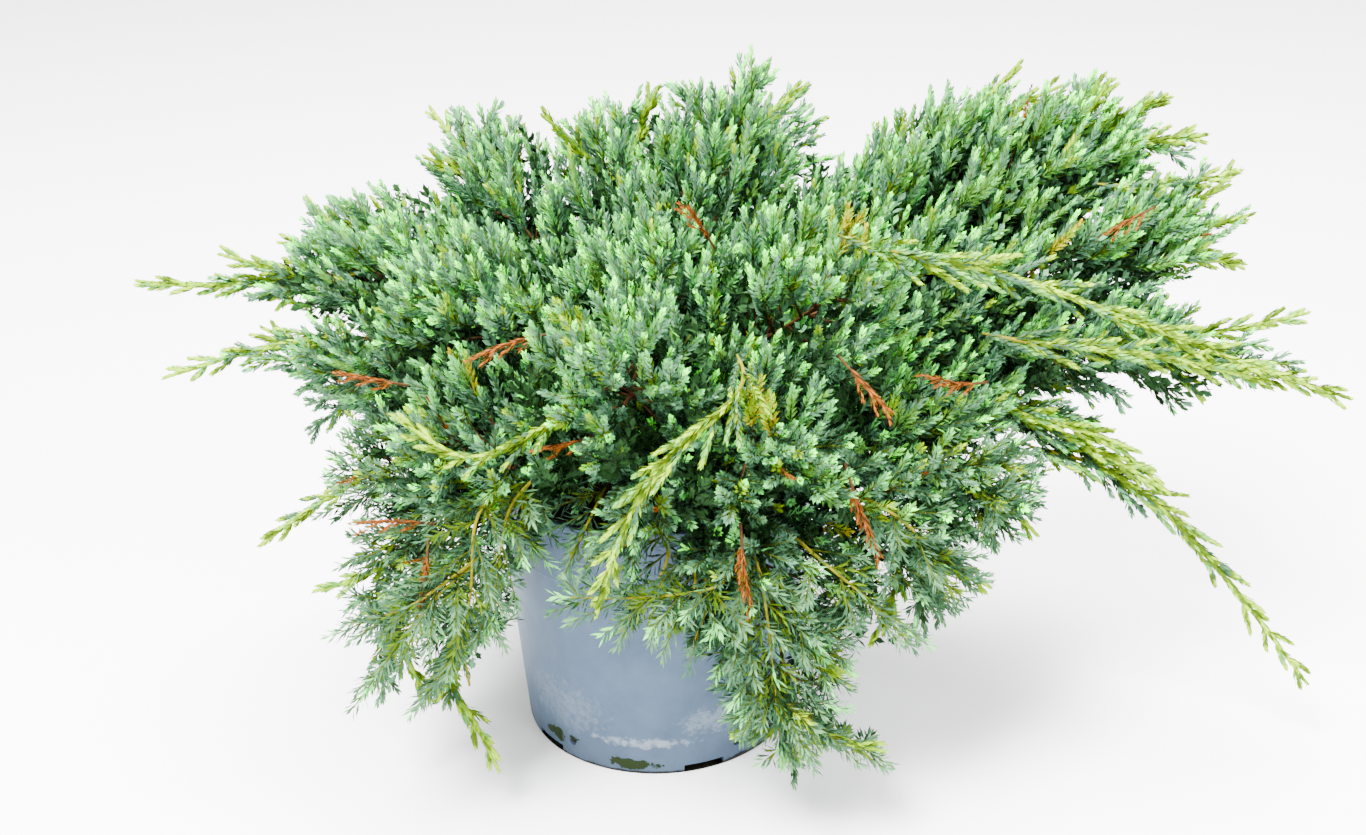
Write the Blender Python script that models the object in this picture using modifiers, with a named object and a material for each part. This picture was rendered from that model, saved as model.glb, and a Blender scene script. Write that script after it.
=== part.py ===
# A low, spreading blue juniper in its grey nursery pot, in metres, +Z up, standing on z = 0.
# Y runs away from the side that the photograph shows, and X along the crown's long way.
# Every limb is one smooth line from the short trunk to the tip of its leading shoot. A bare
# bough covers the inner share of that line, and a mass of foliage grows round the outer share.

import math
import random

import bmesh
import bpy
import numpy as np

MM = 0.001
CLEAR = 0.3 * MM  # gap kept where two pieces meet
SEED = 61

# Pot
POT_HEIGHT = 138.6 * MM
RIM_RADIUS = 77.0 * MM
BAND_DEPTH = 32.0 * MM  # the thicker band under the rim
BAND_LOWER_RADIUS = 76.4 * MM
BAND_PROUD = 1.6 * MM
BASE_RADIUS = 68.0 * MM
BASE_CHAMFER = 1.6 * MM
POT_WALL = 1.7 * MM
POT_FLOOR = 2.6 * MM
LIP_ROUND = 0.8 * MM
POT_STEPS = 36
NOTCH_COUNT = 5
NOTCH_HEADING = -72.0  # degrees, the first drain notch
NOTCH_WIDTH = 20.0 * MM
NOTCH_HEIGHT = 4.6 * MM
NOTCH_DEPTH = 9.0 * MM
HOLE_HEADING = -57.0
HOLE_RADIUS = 2.0 * MM
HOLE_HEIGHT = 10.5 * MM

# Soil
SOIL_TOP = 122.0 * MM
SOIL_DISH = 2.0 * MM  # how far the soil falls to the pot's wall
SOIL_FLAT = 26.0 * MM  # level ground round the trunk

# Trunk: height above its foot and radius
TRUNK_SHAPE = (
    (0.0, 13.5 * MM),
    (4.0 * MM, 10.0 * MM),
    (12.0 * MM, 8.3 * MM),
    (35.0 * MM, 7.2 * MM),
    (60.0 * MM, 6.0 * MM),
    (85.0 * MM, 4.4 * MM),
)
TRUNK_LEAN_X = 5.0 * MM
TRUNK_LEAN_Y = 2.0 * MM

# Limbs. heading, reach and height place the leading tip from the pot's axis and the floor.
# The line leaves the trunk at start and bends under an elbow at a share of the reach, at
# height rise, turned sideways by turn. The foliage takes over at the share entry and stands
# out by spread as far as the share slim of its own length, where a slender leader goes on.
# An entry of 0 is a mass that grows from the trunk itself.
COLUMNS = ("heading", "reach", "height", "start", "elbow", "rise", "turn", "entry", "slim", "spread")
LIMBS = {
    "left_leader": (174, 243, 229, 205, 0.55, 226, -10, 0.30, 0.62, 38),
    "left_lower": (-172, 221, 202, 149, 0.60, 226, 6, 0.30, 0.58, 32),
    "left_shoulder": (157, 179, 247, 175, 0.52, 212, 5, 0.30, 0.92, 40),
    "upper_left": (139, 138, 289, 187, 0.50, 235, 5, 0.30, 0.84, 40),
    "top_left": (103, 92, 290, 195, 0.50, 235, 0, 0.00, 0.95, 46),
    "top_crown": (46, 72, 320, 205, 0.50, 240, 0, 0.00, 0.90, 46),
    "top_back": (62, 128, 268, 187, 0.55, 228, 0, 0.00, 0.95, 50),
    "right_top": (22, 197, 308, 137, 0.52, 216, 6, 0.32, 0.86, 36),
    "right_upper": (11, 251, 297, 197, 0.50, 225, 4, 0.30, 0.90, 50),
    "right_shoulder": (0, 278, 254, 179, 0.50, 210, 4, 0.30, 0.90, 46),
    "right_leader": (-9, 318, 184, 169, 0.55, 223, 8, 0.30, 0.70, 38),
    "right_arch": (-11, 315, 39, 132, 0.57, 260, -1, 0.34, 0.36, 40),
    "right_low": (-27, 190, 140, 154, 0.74, 190, -1, 0.32, 0.92, 40),
    "right_hang": (-40, 166, 108, 140, 0.85, 196, -3, 0.36, 0.95, 34),
    "front_hang": (-63, 135, 36, 132, 0.95, 214, -3, 0.40, 0.90, 42),
    "front_leader": (-103, 140, 132, 150, 0.90, 222, 24, 0.36, 0.55, 38),
    "front_centre": (-97, 150, 262, 175, 0.60, 200, 8, 0.32, 0.95, 50),
    "front_left": (-131, 152, 208, 157, 0.60, 178, 3, 0.32, 0.95, 46),
    "left_hang": (-129, 124, 26, 182, 1.10, 202, -22, 0.42, 0.76, 34),
    "left_weep": (-151, 148, 52, 136, 0.92, 204, 2, 0.38, 0.92, 30),
    "left_hang_outer": (-163, 188, 128, 167, 0.66, 186, 10, 0.34, 0.62, 38),
    "mid_left": (-156, 118, 258, 195, 0.55, 205, 0, 0.00, 0.95, 50),
    "mid_centre": (-82, 62, 276, 203, 0.50, 215, 0, 0.00, 0.95, 48),
    "mid_right": (-42, 135, 278, 188, 0.58, 212, 0, 0.30, 0.95, 52),
    "front_right": (-66, 158, 212, 166, 0.62, 186, 0, 0.32, 0.95, 48),
    "back_right": (46, 195, 178, 147, 0.60, 208, 0, 0.30, 0.90, 52),
    "back_centre": (80, 165, 160, 169, 0.65, 214, 0, 0.30, 0.92, 52),
    "back_low": (108, 142, 78, 132, 0.92, 214, 0, 0.38, 0.92, 42),
    "back_left": (126, 178, 206, 156, 0.55, 198, 0, 0.30, 0.92, 50),
    "back_left_low": (152, 182, 134, 136, 0.66, 188, 0, 0.32, 0.88, 44),
    "back_right_low": (19, 225, 142, 160, 0.64, 196, 0, 0.30, 0.88, 48),
}

# Side leaders: the limb, the share of its mass's line where it forks, and the place of its tip
SIDE_LEADERS = (
    ("left_leader", 0.45, 176, 197, 244),
    ("left_leader", 0.57, 171, 180, 212),
    ("left_lower", 0.40, 180, 179, 212),
    ("left_shoulder", 0.55, 167, 179, 240),
    ("left_shoulder", 0.60, 155, 140, 254),
    ("upper_left", 0.50, 154, 114, 277),
    ("top_left", 0.50, 138, 60, 298),
    ("top_left", 0.45, 81, 51, 307),
    ("top_crown", 0.50, 28, 86, 309),
    ("right_top", 0.65, 19, 212, 297),
    ("right_top", 0.45, 23, 156, 287),
    ("right_upper", 0.60, 8, 218, 309),
    ("right_upper", 0.65, 7, 264, 283),
    ("right_shoulder", 0.60, 2, 273, 271),
    ("right_shoulder", 0.60, -4, 270, 238),
    ("right_leader", 0.50, -4, 302, 213),
    ("right_leader", 0.62, -7, 256, 177),
    ("right_arch", 0.12, -16, 241, 148),
    ("right_arch", 0.04, -16, 223, 168),
    ("right_hang", 0.55, -34, 177, 121),
    ("right_hang", 0.60, -50, 150, 105),
    ("front_hang", 0.72, -52, 159, 53),
    ("front_hang", 0.48, -54, 143, 88),
    ("front_hang", 0.62, -72, 115, 52),
    ("front_leader", 0.45, -106, 140, 143),
    ("left_weep", 0.45, -159, 167, 105),
    ("left_weep", 0.60, -141, 136, 62),
)

# Bushy side twigs in the same form. They close the crown between one limb and the next.
SIDE_TWIGS = (
    ("left_leader", 0.40, 171, 158, 210),
    ("left_lower", 0.50, -170, 162, 192),
    ("left_shoulder", 0.62, 150, 150, 246),
    ("upper_left", 0.62, 131, 110, 294),
    ("upper_left", 0.50, 128, 98, 287),
    ("top_left", 0.70, 85, 94, 296),
    ("top_left", 0.40, 122, 74, 280),
    ("top_crown", 0.75, 41, 79, 315),
    ("top_crown", 0.60, 74, 50, 309),
    ("top_back", 0.70, 54, 144, 278),
    ("top_back", 0.60, 53, 152, 261),
    ("top_back", 0.50, 40, 118, 264),
    ("right_upper", 0.75, 10, 266, 268),
    ("right_upper", 0.68, 11, 245, 264),
    ("right_upper", 0.55, 12, 212, 262),
    ("right_shoulder", 0.70, 0, 256, 277),
    ("right_shoulder", 0.68, 1, 241, 221),
    ("right_leader", 0.52, -7, 250, 220),
    ("right_leader", 0.60, -7, 284, 186),
    ("right_leader", 0.40, -10, 222, 178),
    ("back_right_low", 0.80, 18, 246, 127),
    ("back_left_low", 0.75, 154, 205, 131),
    ("back_left_low", 0.70, 154, 206, 114),
    ("right_arch", 0.10, -13, 208, 172),
    ("right_low", 0.70, -29, 175, 131),
    ("right_low", 0.45, -38, 160, 142),
    ("right_hang", 0.35, -52, 130, 124),
    ("right_hang", 0.50, -55, 138, 112),
    ("right_hang", 0.75, -44, 156, 98),
    ("left_hang", 0.55, -140, 137, 68),
    ("left_hang", 0.50, -134, 124, 98),
    ("front_hang", 0.70, -56, 144, 50),
    ("front_hang", 0.35, -50, 140, 104),
    ("front_leader", 0.30, -96, 112, 138),
    ("back_centre", 0.55, 96, 140, 132),
    ("back_right", 0.45, 62, 142, 128),
    ("back_left", 0.35, 118, 132, 128),
)

# Limb thickness
BOUGH_BASE_RADIUS = 1.7 * MM
BOUGH_RADIUS_PER_REACH = 0.0055
BOUGH_TIP_RADIUS = 1.3 * MM
BOUGH_POINTS = 5
END_TILT = 0.85  # how much of its thickness a rising bough's end leans towards the trunk
STEM_TIP_RADIUS = 0.7 * MM

# Foliage
PATH_POINTS = 13  # points that stand for a mass's line when space is shared out
SIDE_POINTS = 7
FINE_POINTS = 33  # points of a line that shoots grow along
SPACE_MARGIN = 0.6 * MM
CORE_SHARE = 0.66  # core radius as a share of the spread
CORE_RINGS = 5
CORE_SIDES = 8
CORE_PEAK = 1.28  # every second corner of the core stands out as a tuft
CORE_DIP = 0.70
CORE_LEAST = 2.4 * MM
WAIST = 0.76  # spread at both ends of the full stretch, as a share of that at its middle
OUTER_TAPER = 0.2  # how much of the spread is lost towards the leader
TWIG_SPACING = 30.0 * MM
TWIG_TRIES = 9
FIRST_TWIG = 0.06
LAST_TWIG = 0.92
FORK_ANGLE = 52.0
FORK_CLOSING = 0.45  # forks grow narrower towards the tip by this share
TWIG_LIFT = 0.16
SHORTENED = (1.0, 0.82, 0.68)  # tries for a twig that meets its neighbour's space
TIP_ROOM = 4.0 * MM  # how far a twig may pass its limb's tip
SPRAY_LENGTH = 42.0 * MM
SPRAY_RADIUS = 10.0 * MM
SPRAY_WHORLS = 2
SIDE_BOW = 0.4  # how far a side leader follows its limb before it turns away
SIDE_RADIUS = 6.0 * MM
SIDE_WHORL = 20.0 * MM
TWIG_RADIUS = 1.3 * MM
LEADER_LENGTH = 46 * MM
LEADER_WHORL = 16 * MM
LEADER_RADIUS = 6.0 * MM
LEADER_ENVELOPE = 15 * MM
SPRAY_LEAST = 22 * MM
GOLDEN_TURN = 137.5
GOLDEN_SHARE = 0.618

BLUE_GREEN = (0.20, 0.34, 0.30)
BARK_BROWN = (0.23, 0.12, 0.06)
TWIG_BROWN = (0.36, 0.19, 0.08)
POT_GREY = (0.20, 0.245, 0.305)
SOIL_BROWN = (0.045, 0.032, 0.022)


def start_scene():
    for obj in list(bpy.data.objects):
        bpy.data.objects.remove(obj, do_unlink=True)
    plant = bpy.data.collections.new("potted_blue_juniper")
    cutters = bpy.data.collections.new("cutters")
    for collection in (plant, cutters):
        bpy.context.scene.collection.children.link(collection)
    return plant, cutters


def material(name, colour, roughness):
    made = bpy.data.materials.new(name)
    made.use_nodes = True
    shader = made.node_tree.nodes["Principled BSDF"]
    shader.inputs["Base Color"].default_value = (*colour, 1.0)
    shader.inputs["Roughness"].default_value = roughness
    shader.inputs["Metallic"].default_value = 0.0
    made.diffuse_color = (*colour, 1.0)
    return made


def mesh_object(name, mesh, collection):
    obj = bpy.data.objects.new(name, mesh)
    collection.objects.link(obj)
    return obj


def turned(name, profile, collection):
    """An object turned from a closed loop of (radius, height) points by a Screw modifier."""
    mesh = bpy.data.meshes.new(name)
    count = len(profile)
    points = [(radius, 0.0, height) for radius, height in profile]
    on_axis = [i for i in range(count) if profile[i][0] == 0.0]
    edges = [
        (i, (i + 1) % count)
        for i in range(count)
        if not (i in on_axis and (i + 1) % count in on_axis)
    ]
    mesh.from_pydata(points, edges, [])
    obj = mesh_object(name, mesh, collection)
    screw = obj.modifiers.new("turn", "SCREW")
    screw.steps = POT_STEPS
    screw.render_steps = POT_STEPS
    screw.use_merge_vertices = True
    screw.merge_threshold = 0.00001
    return obj


def pot_inner_radius(height):
    """Radius of the pot's inner wall."""
    band_foot = POT_HEIGHT - BAND_DEPTH
    if height >= band_foot:
        share = (height - band_foot) / BAND_DEPTH
        return BAND_LOWER_RADIUS + (RIM_RADIUS - BAND_LOWER_RADIUS) * share - POT_WALL
    share = height / band_foot
    top = BAND_LOWER_RADIUS - BAND_PROUD
    return BASE_RADIUS + (top - BASE_RADIUS) * share - POT_WALL


def build_pot(plant, cutters):
    band_foot = POT_HEIGHT - BAND_DEPTH
    profile = [
        (RIM_RADIUS - LIP_ROUND, POT_HEIGHT),
        (RIM_RADIUS, POT_HEIGHT - LIP_ROUND),
        (BAND_LOWER_RADIUS, band_foot),
        (BAND_LOWER_RADIUS - BAND_PROUD, band_foot - BAND_PROUD / 2),
        (BASE_RADIUS, BASE_CHAMFER),
        (BASE_RADIUS - BASE_CHAMFER, 0.0),
        (0.0, 0.0),
        (0.0, POT_FLOOR),
        (pot_inner_radius(POT_FLOOR), POT_FLOOR),
        (pot_inner_radius(band_foot - BAND_PROUD), band_foot - BAND_PROUD),
        (pot_inner_radius(band_foot), band_foot),
        (RIM_RADIUS - POT_WALL, POT_HEIGHT),
    ]
    pot = turned("pot", profile, plant)
    pot.data.materials.append(material("grey_plastic", POT_GREY, 0.5))
    step = 360.0 / NOTCH_COUNT
    for number in range(NOTCH_COUNT):
        cut_notch(pot, math.radians(NOTCH_HEADING + step * number), number, cutters)
        cut_hole(pot, math.radians(HOLE_HEADING + step * number), number, cutters)
    return pot


def cut_notch(pot, heading, number, cutters):
    """A drain notch through the foot of the wall."""
    out = 2 * MM
    middle = BASE_RADIUS + out - (NOTCH_DEPTH + out) / 2
    bpy.ops.mesh.primitive_cube_add(size=1.0)
    notch = bpy.context.active_object
    notch.name = f"notch_cutter_{number}"
    notch.scale = (NOTCH_DEPTH + out, NOTCH_WIDTH, NOTCH_HEIGHT * 2)
    notch.location = (middle * math.cos(heading), middle * math.sin(heading), 0.0)
    notch.rotation_euler = (0.0, 0.0, heading)
    add_cutter(pot, notch, cutters)


def cut_hole(pot, heading, number, cutters):
    """A small round drain hole through the wall."""
    bpy.ops.mesh.primitive_cylinder_add(vertices=8, radius=HOLE_RADIUS, depth=POT_WALL * 8)
    hole = bpy.context.active_object
    hole.name = f"hole_cutter_{number}"
    hole.location = (BASE_RADIUS * math.cos(heading), BASE_RADIUS * math.sin(heading), HOLE_HEIGHT)
    hole.rotation_euler = (0.0, math.pi / 2, heading)
    add_cutter(pot, hole, cutters)


def add_cutter(pot, cutter, cutters):
    for collection in list(cutter.users_collection):
        collection.objects.unlink(cutter)
    cutters.objects.link(cutter)
    cutter.hide_render = True
    cutter.display_type = "WIRE"
    cut = pot.modifiers.new(cutter.name, "BOOLEAN")
    cut.operation = "DIFFERENCE"
    cut.object = cutter


def build_soil(plant):
    band_foot = POT_HEIGHT - BAND_DEPTH
    edge = SOIL_TOP - SOIL_DISH
    low = POT_FLOOR + CLEAR
    profile = [
        (0.0, SOIL_TOP),
        (SOIL_FLAT, SOIL_TOP),
        (pot_inner_radius(edge) - CLEAR, edge),
        (pot_inner_radius(band_foot) - CLEAR, band_foot),
        (pot_inner_radius(band_foot - BAND_PROUD) - CLEAR, band_foot - BAND_PROUD),
        (pot_inner_radius(low) - CLEAR, low),
        (0.0, low),
    ]
    soil = turned("soil", profile, plant)
    soil.data.materials.append(material("potting_soil", SOIL_BROWN, 0.95))
    return soil


def trunk_point(height):
    """Middle of the trunk at a height above the floor: it leans more towards its top."""
    share = (height - SOIL_TOP) / TRUNK_SHAPE[-1][0]
    return np.array([TRUNK_LEAN_X * share**2, TRUNK_LEAN_Y * share**2, height])


def trunk_radius(height):
    heights, radii = zip(*TRUNK_SHAPE)
    return float(np.interp(height - SOIL_TOP, heights, radii))


def rod(name, points, radii, resolution, collection):
    """A tapering round rod along points, as a curve object with filled caps."""
    curve = bpy.data.curves.new(name, "CURVE")
    curve.dimensions = "3D"
    curve.bevel_depth = 1.0
    curve.bevel_resolution = resolution
    curve.use_fill_caps = True
    spline = curve.splines.new("POLY")
    spline.points.add(len(points) - 1)
    for target, point, radius in zip(spline.points, points, radii):
        target.co = (*point, 1.0)
        target.radius = radius
    obj = bpy.data.objects.new(name, curve)
    collection.objects.link(obj)
    return obj


def build_trunk(plant):
    heights = [SOIL_TOP + CLEAR + above for above, _ in TRUNK_SHAPE]
    points = [trunk_point(height) for height in heights]
    points[1][:2] = points[0][:2]  # upright at the foot, so the cut lies level
    trunk = rod("trunk", points, [radius for _, radius in TRUNK_SHAPE], 4, plant)
    trunk.data.materials.append(material("trunk_bark", BARK_BROWN, 0.9))
    return trunk


def place_of(heading, reach, height):
    return np.array([reach * math.cos(heading), reach * math.sin(heading), height])


def curve_through(root, elbow, tip, shares):
    shares = np.asarray(shares)[:, None]
    rest = 1.0 - shares
    return rest**2 * root + 2 * shares * rest * elbow + shares**2 * tip


class Limb:
    """One line from the trunk to a leading tip, with its bough and its mass's space."""

    def __init__(self, name, row):
        size = dict(zip(COLUMNS, row))
        self.name = name
        self.entry = size["entry"]
        self.slim = size["slim"]
        self.spread = size["spread"] * MM
        self.base_radius = BOUGH_BASE_RADIUS + BOUGH_RADIUS_PER_REACH * size["reach"] * MM
        heading = math.radians(size["heading"])
        bent = heading + math.radians(size["turn"])
        reach = size["reach"] * MM
        self.tip = place_of(heading, reach, size["height"] * MM)
        self.elbow = place_of(bent, size["elbow"] * reach, size["rise"] * MM)
        self.root = self.place_root(size["start"] * MM)
        shares = np.linspace(self.entry, 1.0, PATH_POINTS)
        self.path = np.array([self.point(share) for share in shares])
        self.bough_path = np.array(
            [self.point(share) for share in np.linspace(0.0, self.entry, BOUGH_POINTS)]
        )
        self.leader_paths = [self.side_path(*row[1:]) for row in SIDE_LEADERS if row[0] == name]
        self.twig_paths = [self.side_path(*row[1:]) for row in SIDE_TWIGS if row[0] == name]

    def place_root(self, height):
        """Where the line starts, so that its end face stays just clear of the trunk."""
        middle = trunk_point(height)
        way = (self.elbow - middle) / np.linalg.norm(self.elbow - middle)
        level = math.hypot(way[0], way[1])
        thickness = self.base_radius if self.entry else BOUGH_TIP_RADIUS
        out = trunk_radius(height) + CLEAR + END_TILT * thickness * abs(way[2])
        return middle + np.array([way[0], way[1], 0.0]) / level * out

    def point(self, share):
        return curve_through(self.root, self.elbow, self.tip, [share])[0]

    def tangent(self, share):
        way = (1.0 - share) * (self.elbow - self.root) + share * (self.tip - self.elbow)
        return way / np.linalg.norm(way)

    def radius(self, share):
        if share <= self.entry:
            taper = share / self.entry if self.entry else 1.0
            return self.base_radius + (BOUGH_TIP_RADIUS - self.base_radius) * taper
        taper = (share - self.entry) / (1.0 - self.entry)
        return BOUGH_TIP_RADIUS + (STEM_TIP_RADIUS - BOUGH_TIP_RADIUS) * taper

    def side_path(self, share, heading, reach, height):
        """A side leader's line, from a share of the mass's line to its own tip."""
        root = along(self.path, [share])[0]
        tip = place_of(math.radians(heading), reach * MM, height * MM)
        way = self.tangent(self.entry + (1.0 - self.entry) * share)
        elbow = root + way * SIDE_BOW * np.linalg.norm(tip - root)
        return curve_through(root, elbow, tip, np.linspace(0.0, 1.0, SIDE_POINTS))


def distances(points, starts, ends):
    """Distance from each point to each straight stretch."""
    way = ends - starts
    offset = points[:, None] - starts[None]
    share = np.clip((offset * way).sum(2) / (way * way).sum(1), 0.0, 1.0)
    return np.linalg.norm(offset - share[..., None] * way, axis=2)


class Space:
    """Shares the crown out among the masses and knows how much room a point has."""

    def __init__(self, limbs):
        self.spreads = np.array([limb.spread for limb in limbs])
        lines = [[limb.path] + limb.leader_paths + limb.twig_paths for limb in limbs]
        self.mass_starts = np.concatenate([line[:-1] for group in lines for line in group])
        self.mass_ends = np.concatenate([line[1:] for group in lines for line in group])
        counts = [sum(len(line) - 1 for line in group) for group in lines]
        self.firsts = np.cumsum([0] + counts[:-1])
        rods = [
            (start, end, max(limb.radius(0.0), limb.radius(limb.entry)))
            for limb in limbs
            if limb.entry
            for start, end in zip(limb.bough_path[:-1], limb.bough_path[1:])
        ]
        heights = [SOIL_TOP + above for above, _ in TRUNK_SHAPE]
        rods += [
            (trunk_point(low), trunk_point(high), trunk_radius(low))
            for low, high in zip(heights[:-1], heights[1:])
        ]
        self.rod_starts = np.array([start for start, _, _ in rods])
        self.rod_ends = np.array([end for _, end, _ in rods])
        self.rod_radii = np.array([radius for _, _, radius in rods])

    def room(self, points, own):
        """Least distance from each point to another mass's space, a limb, pot or floor."""
        points = np.asarray(points)
        to_masses = distances(points, self.mass_starts, self.mass_ends)
        to_masses = np.minimum.reduceat(to_masses, self.firsts, axis=1)
        scaled = to_masses / self.spreads
        rivals = (scaled - scaled[:, own : own + 1]) * (self.spreads + self.spreads[own]) / 4
        rivals[:, own] = 1.0
        limbs = distances(points, self.rod_starts, self.rod_ends) - self.rod_radii
        outside = np.hypot(points[:, 0], points[:, 1]) - RIM_RADIUS
        pot = np.maximum(outside, points[:, 2] - POT_HEIGHT)
        floor = points[:, 2]
        return np.minimum.reduce([rivals.min(axis=1), limbs.min(axis=1), pot, floor])


def frames_along(path):
    """Two directions across the path at each point, carried along without twist."""
    ways = np.gradient(path, axis=0)
    ways /= np.linalg.norm(ways, axis=1)[:, None]
    side = np.cross(ways[0], (0.0, 0.0, 1.0))
    if np.linalg.norm(side) < 0.1:
        side = np.cross(ways[0], (1.0, 0.0, 0.0))
    sides = []
    for way in ways:
        side = side - way * side.dot(way)
        side = side / np.linalg.norm(side)
        sides.append((side, np.cross(way, side)))
    return sides


def ring(centre, frame, radius, sides, turn):
    angles = turn + np.arange(sides) * 2 * math.pi / sides
    across, up = frame
    return centre + radius * (np.outer(np.cos(angles), across) + np.outer(np.sin(angles), up))


def loft_mesh(name, rings, tip, foot=None):
    """A closed body over rings with equal numbers of points, ending in a pointed tip."""
    sides = len(rings[0])
    points = [tuple(point) for one in rings for point in one]
    faces = []
    for low in range(len(rings) - 1):
        for i in range(sides):
            a = low * sides + i
            b = low * sides + (i + 1) % sides
            faces.append((a, b, b + sides, a + sides))
    last = (len(rings) - 1) * sides
    points.append(tuple(tip))
    faces += [(last + i, last + (i + 1) % sides, len(points) - 1) for i in range(sides)]
    if foot is None:
        faces.append(tuple(reversed(range(sides))))
    else:
        points.append(tuple(foot))
        faces += [((i + 1) % sides, i, len(points) - 1) for i in range(sides)]
    mesh = bpy.data.meshes.new(name)
    mesh.from_pydata(points, [], faces)
    body = bmesh.new()
    body.from_mesh(mesh)
    bmesh.ops.triangulate(body, faces=body.faces[:])
    bmesh.ops.recalc_face_normals(body, faces=body.faces[:])
    body.to_mesh(mesh)
    body.free()
    return mesh


def path_length(path):
    return float(np.linalg.norm(np.diff(path, axis=0), axis=1).sum())


def along(path, shares):
    """Points at shares of the path's length."""
    steps = np.linalg.norm(np.diff(path, axis=0), axis=1)
    run = np.concatenate([[0.0], np.cumsum(steps)])
    wanted = np.asarray(shares) * run[-1]
    return np.stack([np.interp(wanted, run, path[:, axis]) for axis in range(3)], axis=1)


def spray_rings(path, bare, whorls, reach, turn):
    """Rings of a shoot: a bare three-sided twig, then whorls of three needles that lean
    forward, each turned against the last. Returns the rings and the tip."""
    fine = along(path, np.linspace(0.0, 1.0, FINE_POINTS))
    frames = frames_along(fine)

    def station(share, radius, spin):
        place = int(round(min(share, 1.0) * (FINE_POINTS - 1)))
        return ring(fine[place], frames[place], radius, 3, spin)

    pitch = (1.0 - bare) / (whorls + 0.5)
    lean = min(0.75 * pitch, 0.9 * reach / path_length(path))
    rings = []
    if bare > 0.2:
        rings.append(station(0.0, TWIG_RADIUS, turn))
    for number in range(whorls):
        foot = bare + pitch * number
        swell = math.sin(math.pi * (0.36 + 0.44 * number / max(1, whorls - 1)))
        thin = TWIG_RADIUS + (STEM_TIP_RADIUS - TWIG_RADIUS) * foot
        spin = turn + math.pi / 3 * number
        rings.append(station(foot, thin, spin))
        rings.append(station(foot + pitch * 0.35 + lean, reach * swell, spin + math.pi / 6))
    return rings, fine[-1]


def bent_path(root, way, length, lift):
    """A short line that sets out along way and bends up towards its end."""
    end = root + way * length + np.array([0.0, 0.0, lift * length])
    return curve_through(root, root + way * length * 0.55, end, np.linspace(0.0, 1.0, 9))


def samples_of(rings, tip):
    """The corners of a shoot and the middles of its edges."""
    corners = np.array(rings)
    between = (corners[1:] + corners[:-1]) / 2
    around = (corners + np.roll(corners, 1, axis=1)) / 2
    everything = [corners.reshape(-1, 3), between.reshape(-1, 3), around.reshape(-1, 3)]
    return np.concatenate(everything + [tip[None]])


def envelope(limb, share):
    """How far the mass stands out from its line at a share of the mass's length."""
    if share > limb.slim:
        return LEADER_ENVELOPE
    full = share / limb.slim
    swell = WAIST + (1.0 - WAIST) * math.sin(math.pi * full)
    return limb.spread * swell * (1.0 - OUTER_TAPER * full**4)


def drop_pockets(mesh):
    """Keeps a mesh's outer shell and removes any pocket that a union closed off inside it."""
    body = bmesh.new()
    body.from_mesh(mesh)
    unseen = set(body.verts)
    shells = []
    while unseen:
        shell = [unseen.pop()]
        for vertex in shell:
            for edge in vertex.link_edges:
                other = edge.other_vert(vertex)
                if other in unseen:
                    unseen.remove(other)
                    shell.append(other)
        shells.append(shell)
    shells.sort(key=len)
    bmesh.ops.delete(body, geom=[vertex for shell in shells[:-1] for vertex in shell])
    body.to_mesh(mesh)
    body.free()


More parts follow.
